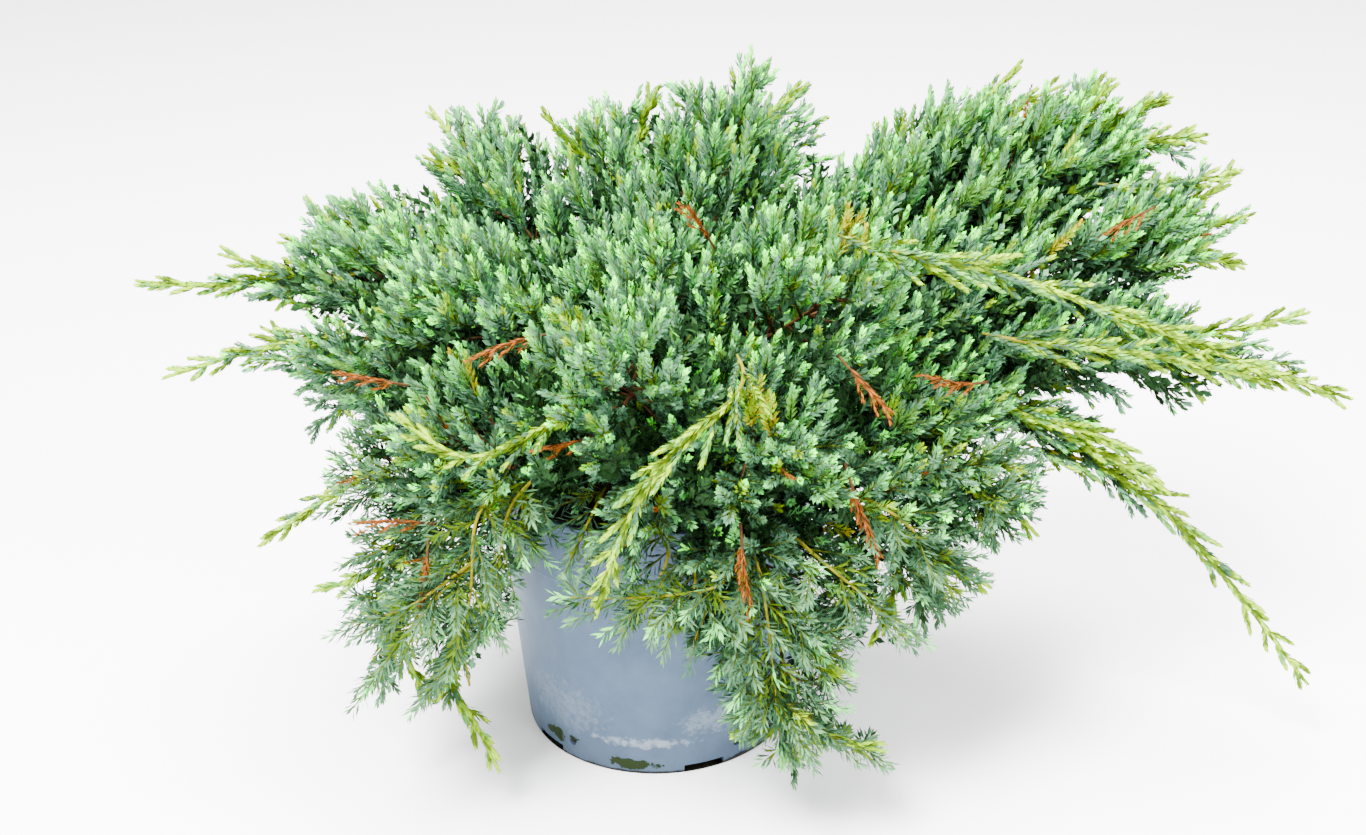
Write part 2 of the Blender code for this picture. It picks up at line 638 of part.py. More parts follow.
class Mass:
    """The pieces of one mass of foliage: a stem, a core and sprays on forking twigs."""

    def __init__(self, limb, number, space):
        self.limb = limb
        self.number = number
        self.space = space
        self.dice = random.Random(SEED * 1000 + number)
        self.length = path_length(limb.path)
        self.pieces = []

    def fits(self, rings, tip):
        # The root lies in the stem or the core, so only what stands out is tested.
        return self.space.room(samples_of(rings[1:], tip), self.number).min() > SPACE_MARGIN

    def grow_stem(self):
        limb = self.limb
        shares = np.linspace(limb.entry, 1.0, FINE_POINTS)
        path = curve_through(limb.root, limb.elbow, limb.tip, shares)
        if limb.entry:
            path[0] = path[0] + limb.tangent(limb.entry) * (CLEAR + 0.1 * BOUGH_TIP_RADIUS)
        leader = max(LEADER_LENGTH / self.length, 1.0 - limb.slim)
        shares = np.linspace(0.0, 1.0 - leader, 4)
        knots = along(path, shares)
        frames = frames_along(knots)
        rings = []
        for knot, frame, share in zip(knots, frames, shares):
            radius = BOUGH_TIP_RADIUS + (TWIG_RADIUS - BOUGH_TIP_RADIUS) * share
            rings.append(ring(knot, frame, radius, 3, 0.0))
        end = along(path, np.linspace(1.0 - leader, 1.0, 9))
        whorls = max(3, round(leader * self.length / LEADER_WHORL))
        tips, tip = spray_rings(end, 0.0, whorls, LEADER_RADIUS, 0.0)
        self.pieces.append(loft_mesh("stem", rings[:-1] + tips, tip))

    def grow_core(self):
        limb = self.limb
        middles, frames, radii = [], [], []
        shares = np.linspace(0.08, 0.86, CORE_RINGS) * limb.slim
        path = along(limb.path, np.linspace(0.0, 1.0, FINE_POINTS))
        all_frames = frames_along(path)
        for number, share in enumerate(shares):
            middles.append(along(path, [share])[0])
            frames.append(all_frames[int(round(share * (FINE_POINTS - 1)))])
            plump = CORE_SHARE * envelope(limb, share)
            for side in range(CORE_SIDES):
                peak = CORE_PEAK if (side + number) % 2 else CORE_DIP
                radii.append(plump * peak * self.dice.uniform(0.8, 1.2))
        radii = np.array(radii).reshape(CORE_RINGS, CORE_SIDES)
        for _ in range(40):
            rings = [self.lumpy_ring(*one) for one in zip(middles, frames, radii)]
            room = self.space.room(np.concatenate(rings), self.number).reshape(radii.shape)
            tight = room < SPACE_MARGIN + 0.2 * radii
            if not tight.any():
                break
            radii[tight] = np.maximum(radii[tight] * 0.9, CORE_LEAST)
        foot, tip = along(path, [0.03 * limb.slim, 0.94 * limb.slim])
        self.pieces.append(loft_mesh("core", rings, tip, foot))

    def lumpy_ring(self, centre, frame, radii):
        angles = np.arange(CORE_SIDES) * 2 * math.pi / CORE_SIDES
        across, up = frame
        offsets = np.outer(np.cos(angles), across) + np.outer(np.sin(angles), up)
        return centre + offsets * np.asarray(radii)[:, None]

    def grow_twigs(self):
        limb = self.limb
        path = along(limb.path, np.linspace(0.0, 1.0, FINE_POINTS))
        frames = frames_along(path)
        wanted = max(4, round(self.length / TWIG_SPACING))
        made = 0
        for attempt in range(wanted * TWIG_TRIES):
            if made >= wanted:
                break
            share = FIRST_TWIG + (LAST_TWIG - FIRST_TWIG) * ((attempt * GOLDEN_SHARE) % 1.0)
            angle = math.radians(GOLDEN_TURN * attempt + self.dice.uniform(-25, 25))
            fork = FORK_ANGLE * (1.15 - FORK_CLOSING * share) + self.dice.uniform(-8, 8)
            fork = math.radians(fork)
            across, up = frames[int(round(share * (FINE_POINTS - 1)))]
            way = limb.tangent(limb.entry + (1.0 - limb.entry) * share)
            out = math.cos(angle) * across + math.sin(angle) * up
            heading = math.cos(fork) * way + math.sin(fork) * out
            length = envelope(limb, share) / math.sin(fork) * self.dice.uniform(0.8, 1.0)
            ahead = self.length * (1.0 - share) + TIP_ROOM
            length = min(length, ahead / math.cos(fork))
            made += self.grow_twig(along(path, [share])[0], heading, length)

    def grow_twig(self, root, heading, length):
        """One twig with its spray, shortened once or twice where space is short, or skipped."""
        turn = self.dice.uniform(0.0, 2 * math.pi)
        for shorter in SHORTENED:
            size = length * shorter
            if size < SPRAY_LEAST:
                return False
            path = bent_path(root, heading, size, TWIG_LIFT)
            bare = max(0.0, 1.0 - SPRAY_LENGTH / size)
            rings, tip = spray_rings(path, bare, SPRAY_WHORLS, SPRAY_RADIUS, turn)
            if self.fits(rings, tip):
                self.pieces.append(loft_mesh("spray", rings, tip))
                return True
        return False

    def grow_named_sprays(self):
        """Sprays to their named tips, cut short where another mass or a limb is near."""
        named = [(path, SIDE_RADIUS) for path in self.limb.leader_paths]
        named += [(path, SPRAY_RADIUS) for path in self.limb.twig_paths]
        for path, plump in named:
            for shorter in SHORTENED:
                short = along(path, np.linspace(0.0, shorter, SIDE_POINTS))
                whorls = max(2, round(path_length(short) / SIDE_WHORL))
                rings, tip = spray_rings(short, 0.0, whorls, plump, 0.0)
                if self.fits(rings, tip):
                    self.pieces.append(loft_mesh("side", rings, tip))
                    break

    def join(self, plant):
        """One Boolean union of everything in a collection makes the mass one body."""
        loose = bpy.data.collections.new(f"{self.limb.name}_loose")
        bpy.context.scene.collection.children.link(loose)
        mass = mesh_object(f"foliage_{self.limb.name}", self.pieces[0], plant)
        for number, mesh in enumerate(self.pieces[1:]):
            mesh_object(f"{self.limb.name}_loose_{number}", mesh, loose)
        union = mass.modifiers.new("union", "BOOLEAN")
        union.operation = "UNION"
        union.operand_type = "COLLECTION"
        union.collection = loose
        union.solver = "EXACT"
        graph = bpy.context.evaluated_depsgraph_get()
        joined = bpy.data.meshes.new_from_object(mass.evaluated_get(graph))
        drop_pockets(joined)
        mass.modifiers.clear()
        mass.data = joined
        for obj in list(loose.objects):
            bpy.data.objects.remove(obj, do_unlink=True)
        bpy.data.collections.remove(loose)
        tint = 0.9 + 0.2 * random.Random(self.number).random()
        colour = tuple(min(1.0, part * tint) for part in BLUE_GREEN)
        mass.data.materials.clear()
        mass.data.materials.append(material(f"needles_{self.limb.name}", colour, 0.7))
        return mass


def build_bough(limb, plant):
    """The bare inner share of a limb, ending just short of its mass's stem."""
    shares = np.linspace(0.0, limb.entry, BOUGH_POINTS)
    points = [limb.point(share) for share in shares]
    radii = [limb.radius(share) for share in shares]
    bough = rod(f"bough_{limb.name}", points, radii, 1, plant)
    bough.data.materials.append(material(f"bark_{limb.name}", TWIG_BROWN, 0.85))
    return bough


def build_mass(limb, number, space, plant):
    mass = Mass(limb, number, space)
    mass.grow_stem()
    mass.grow_core()
    mass.grow_named_sprays()
    mass.grow_twigs()
    return mass.join(plant)


def main():
    plant, cutters = start_scene()
    build_pot(plant, cutters)
    build_soil(plant)
    build_trunk(plant)
    limbs = [Limb(name, row) for name, row in LIMBS.items()]
    space = Space(limbs)
    for number, limb in enumerate(limbs):
        if limb.entry:
            build_bough(limb, plant)
        build_mass(limb, number, space, plant)


main()
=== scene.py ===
# A low, spreading blue juniper in its grey nursery pot, in metres
import math

import bpy
import numpy as np
from mathutils import Matrix, Vector, kdtree


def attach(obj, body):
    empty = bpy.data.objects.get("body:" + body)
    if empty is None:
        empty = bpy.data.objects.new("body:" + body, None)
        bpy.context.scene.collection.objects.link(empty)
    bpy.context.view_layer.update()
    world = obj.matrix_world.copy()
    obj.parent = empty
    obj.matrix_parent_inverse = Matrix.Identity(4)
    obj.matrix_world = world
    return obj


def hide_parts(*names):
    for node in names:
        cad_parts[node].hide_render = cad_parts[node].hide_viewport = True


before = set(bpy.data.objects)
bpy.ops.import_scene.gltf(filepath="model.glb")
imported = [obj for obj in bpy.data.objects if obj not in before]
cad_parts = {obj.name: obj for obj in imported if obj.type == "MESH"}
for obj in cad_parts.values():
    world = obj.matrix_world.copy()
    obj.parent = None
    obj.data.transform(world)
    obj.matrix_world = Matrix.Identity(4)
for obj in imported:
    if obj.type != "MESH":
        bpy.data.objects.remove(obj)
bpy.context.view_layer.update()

mm = 0.001
scene = bpy.context.scene
dice = np.random.default_rng(20)

# camera: where the photograph was taken from
cameraSet = {
    "target": (0.0156, 0.0, 0.1596),
    "distance": 0.856,
    "elevation": 25.6,
    "roll": -1.7,
    "focalPixels": 1776.0,
    "imageWidth": 1366.0,
    "filmWidth": 36.0,
}


def makeCamera(settings):
    tilt = math.radians(settings["elevation"])
    roll = math.radians(settings["roll"])
    ahead = np.array([0.0, math.cos(tilt), -math.sin(tilt)])
    right = np.array([1.0, 0.0, 0.0])
    up = np.cross(right, ahead)
    rolledRight = right * math.cos(roll) + up * math.sin(roll)
    rolledUp = up * math.cos(roll) - right * math.sin(roll)
    place = np.array(settings["target"]) - ahead * settings["distance"]
    camera = bpy.data.objects.new("camera", bpy.data.cameras.new("camera"))
    rows = [[rolledRight[i], rolledUp[i], -ahead[i], place[i]] for i in range(3)]
    camera.matrix_world = Matrix(rows + [[0.0, 0.0, 0.0, 1.0]])
    camera.data.sensor_width = settings["filmWidth"]
    camera.data.lens = settings["filmWidth"] * settings["focalPixels"] / settings["imageWidth"]
    camera.data.clip_start = 0.01
    scene.collection.objects.link(camera)
    scene.camera = camera


makeCamera(cameraSet)
print("camera set")

# pot and trunk sizes, as in the solids
potSet = {
    "height": 138.6 * mm,
    "rimRadius": 77.0 * mm,
    "bandDepth": 32.0 * mm,
    "bandLowerRadius": 76.4 * mm,
    "bandProud": 1.6 * mm,
    "baseRadius": 68.0 * mm,
    "baseChamfer": 1.6 * mm,
    "wall": 1.7 * mm,
    "floor": 2.6 * mm,
    "steps": 144,
    "notches": 5,
    "notchHeading": -72.0,
    "notchSize": (9.0 * mm, 20.0 * mm, 4.6 * mm),
    "holeHeading": -57.0,
    "holeRadius": 2.0 * mm,
    "holeHeight": 10.5 * mm,
    # painted shade: inset and height of the near-black film under the pot
    "shadeFilmInset": 0.5 * mm,
    "shadeFilmHeight": 0.35 * mm,
}
soilSet = {"top": 122.0, "dish": 2.0 * mm, "flat": 26.0 * mm, "crumbs": 900, "largest": 2.6 * mm}
trunkShape = ((0, 13.5), (4, 10.0), (12, 8.3), (35, 7.2), (60, 6.0), (85, 4.4))
trunkLean = (5.0, 2.0)

# the limbs, as in the solids: angles in degrees, lengths in millimetres
limbColumns = ("heading", "reach", "height", "start", "elbow", "rise", "turn", "entry", "slim", "spread")
limbTable = {
    "left_leader": (174, 243, 229, 205, 0.55, 226, -10, 0.30, 0.62, 38),
    "left_lower": (-172, 221, 202, 149, 0.60, 226, 6, 0.30, 0.58, 32),
    "left_shoulder": (157, 179, 247, 175, 0.52, 212, 5, 0.30, 0.92, 40),
    "upper_left": (139, 138, 289, 187, 0.50, 235, 5, 0.30, 0.84, 40),
    "top_left": (103, 92, 290, 195, 0.50, 235, 0, 0.00, 0.95, 46),
    "top_crown": (46, 72, 320, 205, 0.50, 240, 0, 0.00, 0.90, 46),
    "top_back": (62, 128, 268, 187, 0.55, 228, 0, 0.00, 0.95, 50),
    "right_top": (22, 197, 308, 137, 0.52, 216, 6, 0.32, 0.86, 36),
    "right_upper": (11, 251, 297, 197, 0.50, 225, 4, 0.30, 0.90, 50),
    "right_shoulder": (0, 278, 254, 179, 0.50, 210, 4, 0.30, 0.90, 46),
    "right_leader": (-9, 318, 184, 169, 0.55, 223, 8, 0.30, 0.70, 38),
    "right_arch": (-11, 315, 39, 132, 0.57, 260, -1, 0.34, 0.36, 40),
    "right_low": (-27, 190, 140, 154, 0.74, 190, -1, 0.32, 0.92, 40),
    "right_hang": (-40, 166, 108, 140, 0.85, 196, -3, 0.36, 0.95, 34),
    "front_hang": (-63, 135, 36, 132, 0.95, 214, -3, 0.40, 0.90, 42),
    "front_leader": (-103, 140, 132, 150, 0.90, 222, 24, 0.36, 0.55, 38),
    "front_centre": (-97, 150, 262, 175, 0.60, 200, 8, 0.32, 0.95, 50),
    "front_left": (-131, 152, 208, 157, 0.60, 178, 3, 0.32, 0.95, 46),
    "left_hang": (-129, 124, 26, 182, 1.10, 202, -22, 0.42, 0.76, 34),
    "left_weep": (-151, 148, 52, 136, 0.92, 204, 2, 0.38, 0.92, 30),
    "left_hang_outer": (-163, 188, 128, 167, 0.66, 186, 10, 0.34, 0.62, 38),
    "mid_left": (-156, 118, 258, 195, 0.55, 205, 0, 0.00, 0.95, 50),
    "mid_centre": (-82, 62, 276, 203, 0.50, 215, 0, 0.00, 0.95, 48),
    "mid_right": (-42, 135, 278, 188, 0.58, 212, 0, 0.30, 0.95, 52),
    "front_right": (-66, 158, 212, 166, 0.62, 186, 0, 0.32, 0.95, 48),
    "back_right": (46, 195, 178, 147, 0.60, 208, 0, 0.30, 0.90, 52),
    "back_centre": (80, 165, 160, 169, 0.65, 214, 0, 0.30, 0.92, 52),
    "back_low": (108, 142, 78, 132, 0.92, 214, 0, 0.38, 0.92, 42),
    "back_left": (126, 178, 206, 156, 0.55, 198, 0, 0.30, 0.92, 50),
    "back_left_low": (152, 182, 134, 136, 0.66, 188, 0, 0.32, 0.88, 44),
    "back_right_low": (19, 225, 142, 160, 0.64, 196, 0, 0.30, 0.88, 48),
}
# side leaders and bushy side twigs: the limb, the share of the mass's line where it forks, and its tip
sideLeaders = (
    ("left_leader", 0.45, 176, 197, 244),
    ("left_leader", 0.57, 171, 180, 212),
    ("left_lower", 0.40, 180, 179, 212),
    ("left_shoulder", 0.55, 167, 179, 240),
    ("left_shoulder", 0.60, 155, 140, 254),
    ("upper_left", 0.50, 154, 114, 277),
    ("top_left", 0.50, 138, 60, 298),
    ("top_left", 0.45, 81, 51, 307),
    ("top_crown", 0.50, 28, 86, 309),
    ("right_top", 0.65, 19, 212, 297),
    ("right_top", 0.45, 23, 156, 287),
    ("right_upper", 0.60, 8, 218, 309),
    ("right_upper", 0.65, 7, 264, 283),
    ("right_shoulder", 0.60, 2, 273, 271),
    ("right_shoulder", 0.60, -4, 270, 238),
    ("right_leader", 0.50, -4, 302, 213),
    ("right_leader", 0.62, -7, 256, 177),
    ("right_arch", 0.12, -16, 241, 148),
    ("right_arch", 0.04, -16, 223, 168),
    ("right_hang", 0.55, -34, 177, 121),
    ("right_hang", 0.60, -50, 150, 105),
    ("front_hang", 0.72, -52, 159, 53),
    ("front_hang", 0.48, -54, 143, 88),
    ("front_hang", 0.62, -72, 115, 52),
    ("left_weep", 0.45, -159, 167, 105),
    ("left_weep", 0.60, -141, 136, 62),
)
sideTwigs = (
    ("left_leader", 0.40, 171, 158, 210),
    ("left_lower", 0.50, -170, 162, 192),
    ("left_shoulder", 0.62, 150, 150, 246),
    ("upper_left", 0.62, 131, 110, 294),
    ("upper_left", 0.50, 128, 98, 287),
    ("top_left", 0.70, 85, 94, 296),
    ("top_left", 0.40, 122, 74, 280),
    ("top_crown", 0.75, 41, 79, 315),
    ("top_crown", 0.60, 74, 50, 309),
    ("top_back", 0.70, 54, 144, 278),
    ("top_back", 0.60, 53, 152, 261),
    ("top_back", 0.50, 40, 118, 264),
    ("right_upper", 0.75, 10, 266, 268),
    ("right_upper", 0.68, 11, 245, 264),
    ("right_upper", 0.55, 12, 212, 262),
    ("right_shoulder", 0.70, 0, 256, 277),
    ("right_shoulder", 0.68, 1, 241, 221),
    ("right_leader", 0.52, -7, 250, 220),
    ("right_leader", 0.60, -7, 284, 186),
    ("right_leader", 0.40, -10, 222, 178),
    ("back_right_low", 0.80, 18, 246, 127),
    ("back_left_low", 0.75, 154, 205, 131),
    ("back_left_low", 0.70, 154, 206, 114),
    ("right_arch", 0.10, -13, 208, 172),
    ("right_low", 0.70, -29, 175, 131),
    ("right_low", 0.45, -38, 160, 142),
    ("right_hang", 0.35, -52, 130, 124),
    ("right_hang", 0.50, -55, 138, 112),
    ("right_hang", 0.75, -44, 156, 98),
    ("left_hang", 0.55, -140, 137, 68),
    ("left_hang", 0.50, -134, 124, 98),
    ("front_hang", 0.70, -56, 144, 50),
    ("front_hang", 0.35, -50, 140, 104),
    ("front_leader", 0.30, -96, 112, 138),
    ("back_centre", 0.55, 96, 140, 132),
    ("back_right", 0.45, 62, 142, 128),
    ("back_left", 0.35, 118, 132, 128),
    ("right_upper", 0.55, 14, 229, 250),
    ("right_upper", 0.50, 13, 216, 236),
    ("right_top", 0.72, 14, 248, 260),
    ("right_top", 0.62, 17, 215, 243),
    ("right_upper", 0.66, 12, 241, 245),
    ("right_upper", 0.45, 10, 220, 230),
    ("right_upper", 0.70, 11, 253, 252),
    ("right_top", 0.66, 16, 233, 257),
    ("top_crown", 0.70, 39, 82, 314),
    ("top_back", 0.70, 56, 149, 287),
    ("top_back", 0.70, 53, 153, 270),
    ("right_leader", 0.66, -8, 280, 208),
    ("right_leader", 0.72, -8, 297, 198),
    ("right_leader", 0.50, -7, 249, 172),
    ("left_lower", 0.55, -171, 193, 214),
    ("left_leader", 0.60, 172, 211, 224),
    ("right_arch", 0.20, -12, 209, 143),
    ("right_arch", 0.30, -11, 234, 124),
    ("right_hang", 0.70, -36, 181, 127),
    ("left_hang", 0.60, -138, 132, 59),
)


# leaders that lie over the crown, dead twigs, hollows and golden patches, each placed by
# heading, reach and height
surfaceLeaders = (
    ((-43, 136, 275), (-18, 163, 251), (-15, 198, 235), (-13, 242, 216), (-9, 307, 187)),
    ((-19, 181, 218), (-16, 221, 215), (-13, 251, 205), (-11, 280, 195)),
    ((-72, 147, 240), (-83, 143, 218), (-90, 146, 202), (-95, 151, 176), (-99, 143, 139)),
    ((-106, 125, 218), (-120, 144, 199), (-132, 151, 216)),
    ((-12, 201, 155), (-11, 229, 141), (-11, 253, 118), (-11, 274, 93), (-11, 296, 66), (-11, 316, 39)),
    ((-11, 186, 175), (-11, 216, 162), (-11, 242, 138)),
    ((-139, 131, 78), (-135, 127, 60), (-131, 124, 44), (-128, 123, 29)),
    ((170, 163, 226), (171, 187, 224), (173, 216, 224), (174, 242, 228)),
    ((-170, 160, 217), (-171, 182, 214), (-171, 201, 209), (-172, 220, 203)),
    ((20, 217, 285), (19, 228, 292), (18, 239, 298)),
    ((12, 220, 281), (11, 236, 291), (11, 250, 297)),
    ((11, 237, 273), (11, 254, 276), (10, 271, 278)),
    ((1, 232, 267), (0, 250, 271), (0, 269, 274)),
    ((1, 239, 242), (0, 258, 237), (0, 276, 229)),
)
# strands that hang in front of the pot and at the left, with flat rows of open shoots
strands = (
    ((-70, 134, 153), (-70, 143, 128), (-69, 144, 93), (-66, 136, 47)),
    ((-68, 143, 87), (-57, 145, 58), (-48, 150, 42)),
    ((-124, 136, 171), (-122, 142, 135), (-128, 144, 102), (-134, 148, 74)),
    ((-127, 149, 138), (-133, 161, 113), (-140, 169, 81)),
    ((-127, 148, 140), (-133, 159, 126), (-141, 170, 116)),
    ((-120, 120, 171), (-122, 124, 145), (-127, 125, 101)),
    ((-76, 140, 145), (-92, 134, 140), (-108, 130, 136)),
    ((-86, 120, 150), (-91, 128, 136), (-97, 119, 114)),
    ((-81, 128, 144), (-84, 133, 133), (-89, 124, 116)),
    ((-79, 131, 140), (-81, 134, 125), (-83, 127, 110)),
    ((-73, 136, 136), (-75, 141, 122), (-76, 134, 102)),
    ((-126, 98, 160), (-122, 104, 150), (-122, 99, 134)),
    ((-105, 98, 159), (-107, 102, 151), (-111, 101, 137)),
    ((-130, 117, 160), (-125, 112, 154), (-120, 99, 139)),
    ((-92, 110, 160), (-96, 113, 152), (-102, 108, 147)),
    ((-59, 140, 148), (-54, 152, 133), (-45, 158, 105)),
    ((-46, 156, 162), (-42, 167, 142), (-40, 160, 114)),
)
deadTwigs = (
    ((-108, 118, 257), (-115, 128, 256), (-119, 137, 252)),
    ((-98, 111, 210), (-103, 121, 209), (-109, 129, 209)),
    ((-54, 139, 243), (-53, 151, 234), (-50, 159, 222)),
    ((-55, 148, 196), (-55, 157, 178), (-52, 162, 156)),
    ((-74, 141, 176), (-75, 151, 160), (-74, 154, 143)),
    ((-133, 147, 159), (-131, 154, 145), (-131, 156, 130)),
    ((-25, 169, 210), (-30, 161, 212), (-32, 154, 217)),
    ((-5, 235, 271), (-7, 225, 269), (-7, 216, 263)),
    ((-141, 134, 222), (-142, 150, 229), (-145, 160, 232)),
    ((-134, 139, 161), (-136, 155, 168), (-140, 167, 167)),
    ((-66, 77, 277), (-72, 82, 290), (-75, 83, 298)),
)
hollows = (
    (-115, 110, 240),
    (-78, 114, 257),
    (-45, 141, 212),
    (-120, 120, 187),
    (-68, 129, 159),
    (-56, 140, 208),
    (-91, 110, 214),
    (-72, 130, 201),
    (-99, 120, 238),
    (-126, 124, 219),
)
# places open to the sky at the crown's edge, each with its radius as well
openSky = (
    (-26, 196, 135, 15),
    (24, 177, 308, 15),
    (155, 157, 263, 12),
    (-10, 222, 173, 13),
    (-158, 168, 127, 12),
    (151, 135, 269, 12),
    (145, 134, 282, 14),
    (-3, 260, 224, 12),
    (52, 65, 318, 11),
    (-153, 163, 83, 11),
    (29, 160, 296, 11),
    (-128, 115, 76, 11),
    (0, 270, 244, 10),
    (31, 120, 278, 9),
    (-42, 166, 107, 9),
    (13, 210, 309, 9),
    (10, 252, 290, 9),
    (-53, 152, 104, 9),
    (-2, 249, 226, 10),
    (-160, 162, 168, 8),
    (13, 239, 301, 9),
    (-131, 105, 89, 9),
    (-154, 157, 108, 8),
    (-56, 149, 66, 8),
    (31, 146, 290, 8),
    (-56, 153, 80, 8),
    (16, 203, 310, 8),
    (-167, 167, 203, 7),
    (-129, 130, 78, 8),
    (13, 228, 296, 8),
    (-39, 181, 122, 7),
    (-148, 155, 83, 8),
    (146, 106, 272, 9),
    (170, 183, 243, 7),
    (179, 180, 218, 7),
    (84, 53, 299, 6),
    (17, 198, 305, 6),
    (-155, 163, 99, 7),
    (-46, 155, 127, 10),
    (-44, 152, 117, 9),
    (144, 117, 284, 7),
    (136, 134, 278, 7),
    (9, 212, 297, 7),
    (16, 226, 288, 7),
    (169, 166, 243, 7),
    (-133, 99, 96, 7),
    (-139, 134, 150, 6),
)
goldenPatches = (
    (-52, 84, 268),
    (-39, 111, 285),
    (-116, 113, 243),
    (-135, 106, 232),
    (-6, 191, 266),
    (-69, 137, 230),
    (-81, 136, 163),
    (-54, 144, 153),
    (-125, 136, 149),
    (-109, 102, 261),
)


def trunkPoint(height):
    share = (height / mm - soilSet["top"]) / trunkShape[-1][0]
    return np.array([trunkLean[0] * share**2 * mm, trunkLean[1] * share**2 * mm, height])


def trunkRadius(height):
    heights, radii = zip(*trunkShape)
    return float(np.interp(height / mm - soilSet["top"], heights, radii)) * mm


def unit(v):
    return v / np.maximum(np.linalg.norm(v, axis=-1, keepdims=True), 1e-9)


def placeOf(heading, reach, height):
    angle = math.radians(heading)
    return np.array([reach * math.cos(angle), reach * math.sin(angle), height]) * mm


def curve(root, elbow, tip, points):
    share = np.linspace(0.0, 1.0, points)[:, None]
    return (1 - share) ** 2 * root + 2 * share * (1 - share) * elbow + share**2 * tip


def alongPath(path, shares):
    run = np.concatenate([[0.0], np.cumsum(np.linalg.norm(np.diff(path, axis=0), axis=1))])
    wanted = np.asarray(shares) * run[-1]
    return np.stack([np.interp(wanted, run, path[:, axis]) for axis in range(3)], axis=-1)


def pathLength(path):
    return float(np.linalg.norm(np.diff(path, axis=0), axis=1).sum())


def framesAlong(path):
    ways = unit(np.gradient(path, axis=0))
    flat = np.abs(ways[:, 2]).mean() < 0.9
    side = unit(np.cross(ways, (0.0, 0.0, 1.0) if flat else (1.0, 0.0, 0.0)))
    return ways, side, np.cross(ways, side)


# how the foliage grows: lengths in metres, angles in degrees
growthSet = {
    "branchEvery": 4.0 * mm,
    "dense": ("right_upper", "right_top", "right_shoulder", "right_leader", "right_low"),
    "denser": 0.68,
    "branchFork": 52.0,
    "lift": 0.16,
    "shellDepth": 12 * mm,       # the shoots' share of a mass's spread
    "shootEvery": 3.2 * mm,
    "shootFork": 46.0,
    "shootLength": 19 * mm,
    "shootLeast": 7 * mm,
    "innerEvery": 6.0 * mm,      # twigs on the boughs themselves, over the soil
    "innerLength": 26 * mm,
    "comb": 1.05,                # how far shoots high in the crown turn up and outward
    "combFrom": 0.12,
    "combTo": 0.20,
    "heart": (0.02, 0.0, 0.08),  # the point that they turn away from
    "leaderRoom": 15 * mm,
    "tipRoom": 6 * mm,
    "tipLeader": 48 * mm,
    "noLeader": ("front_leader", "right_arch", "left_hang", "left_leader", "left_lower"),
    "leaderReach": 170 * mm,     # limbs that reach further end in a leader
    "lowLarger": 0.4,            # how much larger and fewer the shoots low on the plant are
    "bare": 9 * mm,
    "dead": 0.004,
    "deadSunk": 7 * mm,
    "sunk": 24 * mm,
    "hollow": 13 * mm,
    "patch": 12 * mm,
    "coverRadius": 12 * mm,
    "coverSteps": (15 * mm, 27 * mm, 39 * mm),
    "hangingBelow": 0.115,       # limbs that end lower than this grow flat sprays
    "flat": 0.45,
}


# leading shoots: a leader is close and slender, a twig bushy, a strand flat with open shoots
leaderHabits = {
    "leader": {
        "clothedFrom": 0.10,
        "stemStyle": "leader",
        "golden": True,
        "every": 5.5 * mm,
        "from": 0.0,
        "longest": 20 * mm,
        "least": 7.0 * mm,
        "grow": 0.11,
        "turn": 137.5,
        "fork": 24.0,
        "flat": 1.0,
        "sideStyle": "side",
        "outerStyle": "leader",
    },
    "twig": {
        "clothedFrom": 0.0,
        "stemStyle": "spur",
        "golden": False,
        "every": 4.5 * mm,
        "from": 0.0,
        "longest": 16 * mm,
        "least": 6.0 * mm,
        "grow": 0.24,
        "turn": 137.5,
        "fork": 32.0,
        "flat": 1.0,
        "sideStyle": "spur",
        "outerStyle": "spur",
    },
    "strand": {
        "clothedFrom": 0.45,
        "stemStyle": "open",
        "golden": True,
        "every": 6.5 * mm,
        "from": 0.05,
        "longest": 26 * mm,
        "least": 11.0 * mm,
        "grow": 0.34,
        "turn": 180.0,
        "fork": 50.0,
        "flat": 0.35,
        "sideStyle": "open",
        "outerStyle": "open",
    },
}


class Limb:
    def __init__(self, name, row):
        size = dict(zip(limbColumns, row))
        self.name = name
        self.entry, self.slim = size["entry"], size["slim"]
        self.spread = size["spread"] * mm
        self.thick = (1.7 + 0.0055 * size["reach"]) * mm
        self.thin = 1.3 * mm
        self.tip = placeOf(size["heading"], size["reach"], size["height"])
        self.elbow = placeOf(size["heading"] + size["turn"], size["elbow"] * size["reach"], size["rise"])
        middle = trunkPoint(size["start"] * mm)
        way = unit(self.elbow - middle)
        level = np.array([way[0], way[1], 0.0])
        thickness = self.thick if self.entry else self.thin
        self.root = middle + unit(level) * (trunkRadius(size["start"] * mm) + thickness * abs(way[2]))
        self.line = self.point(np.linspace(self.entry * 0.6, 1.0, 41))
        self.length = pathLength(self.line)
        self.room = np.array([roomOf(self, share) for share in np.linspace(0.0, 1.0, 41)])

    def point(self, share):
        share = np.asarray(share, float)[..., None]
        rest = 1.0 - share
        return rest**2 * self.root + 2 * share * rest * self.elbow + share**2 * self.tip


def envelope(limb, share):
    if share > limb.slim:
        return growthSet["leaderRoom"]
    full = share / limb.slim
    return limb.spread * (0.76 + 0.24 * math.sin(math.pi * full)) * (1.0 - 0.2 * full**4)


def roomOf(limb, share):
    # the envelope closed to a blunt point at its outer end
    closing = max(0.0, (share - 0.78) / 0.22)
    return max(growthSet["tipRoom"], envelope(limb, share) * math.sqrt(1.0 - 0.96 * closing**2))


limbs = [Limb(name, row) for name, row in limbTable.items()]
limbNamed = {limb.name: limb for limb in limbs}
heart = np.array(growthSet["heart"])
print("limbs laid out:", len(limbs))

shoots = []        # (path, style) of each clothed shoot
brownRods, greenRods, goldenRods = [], [], []


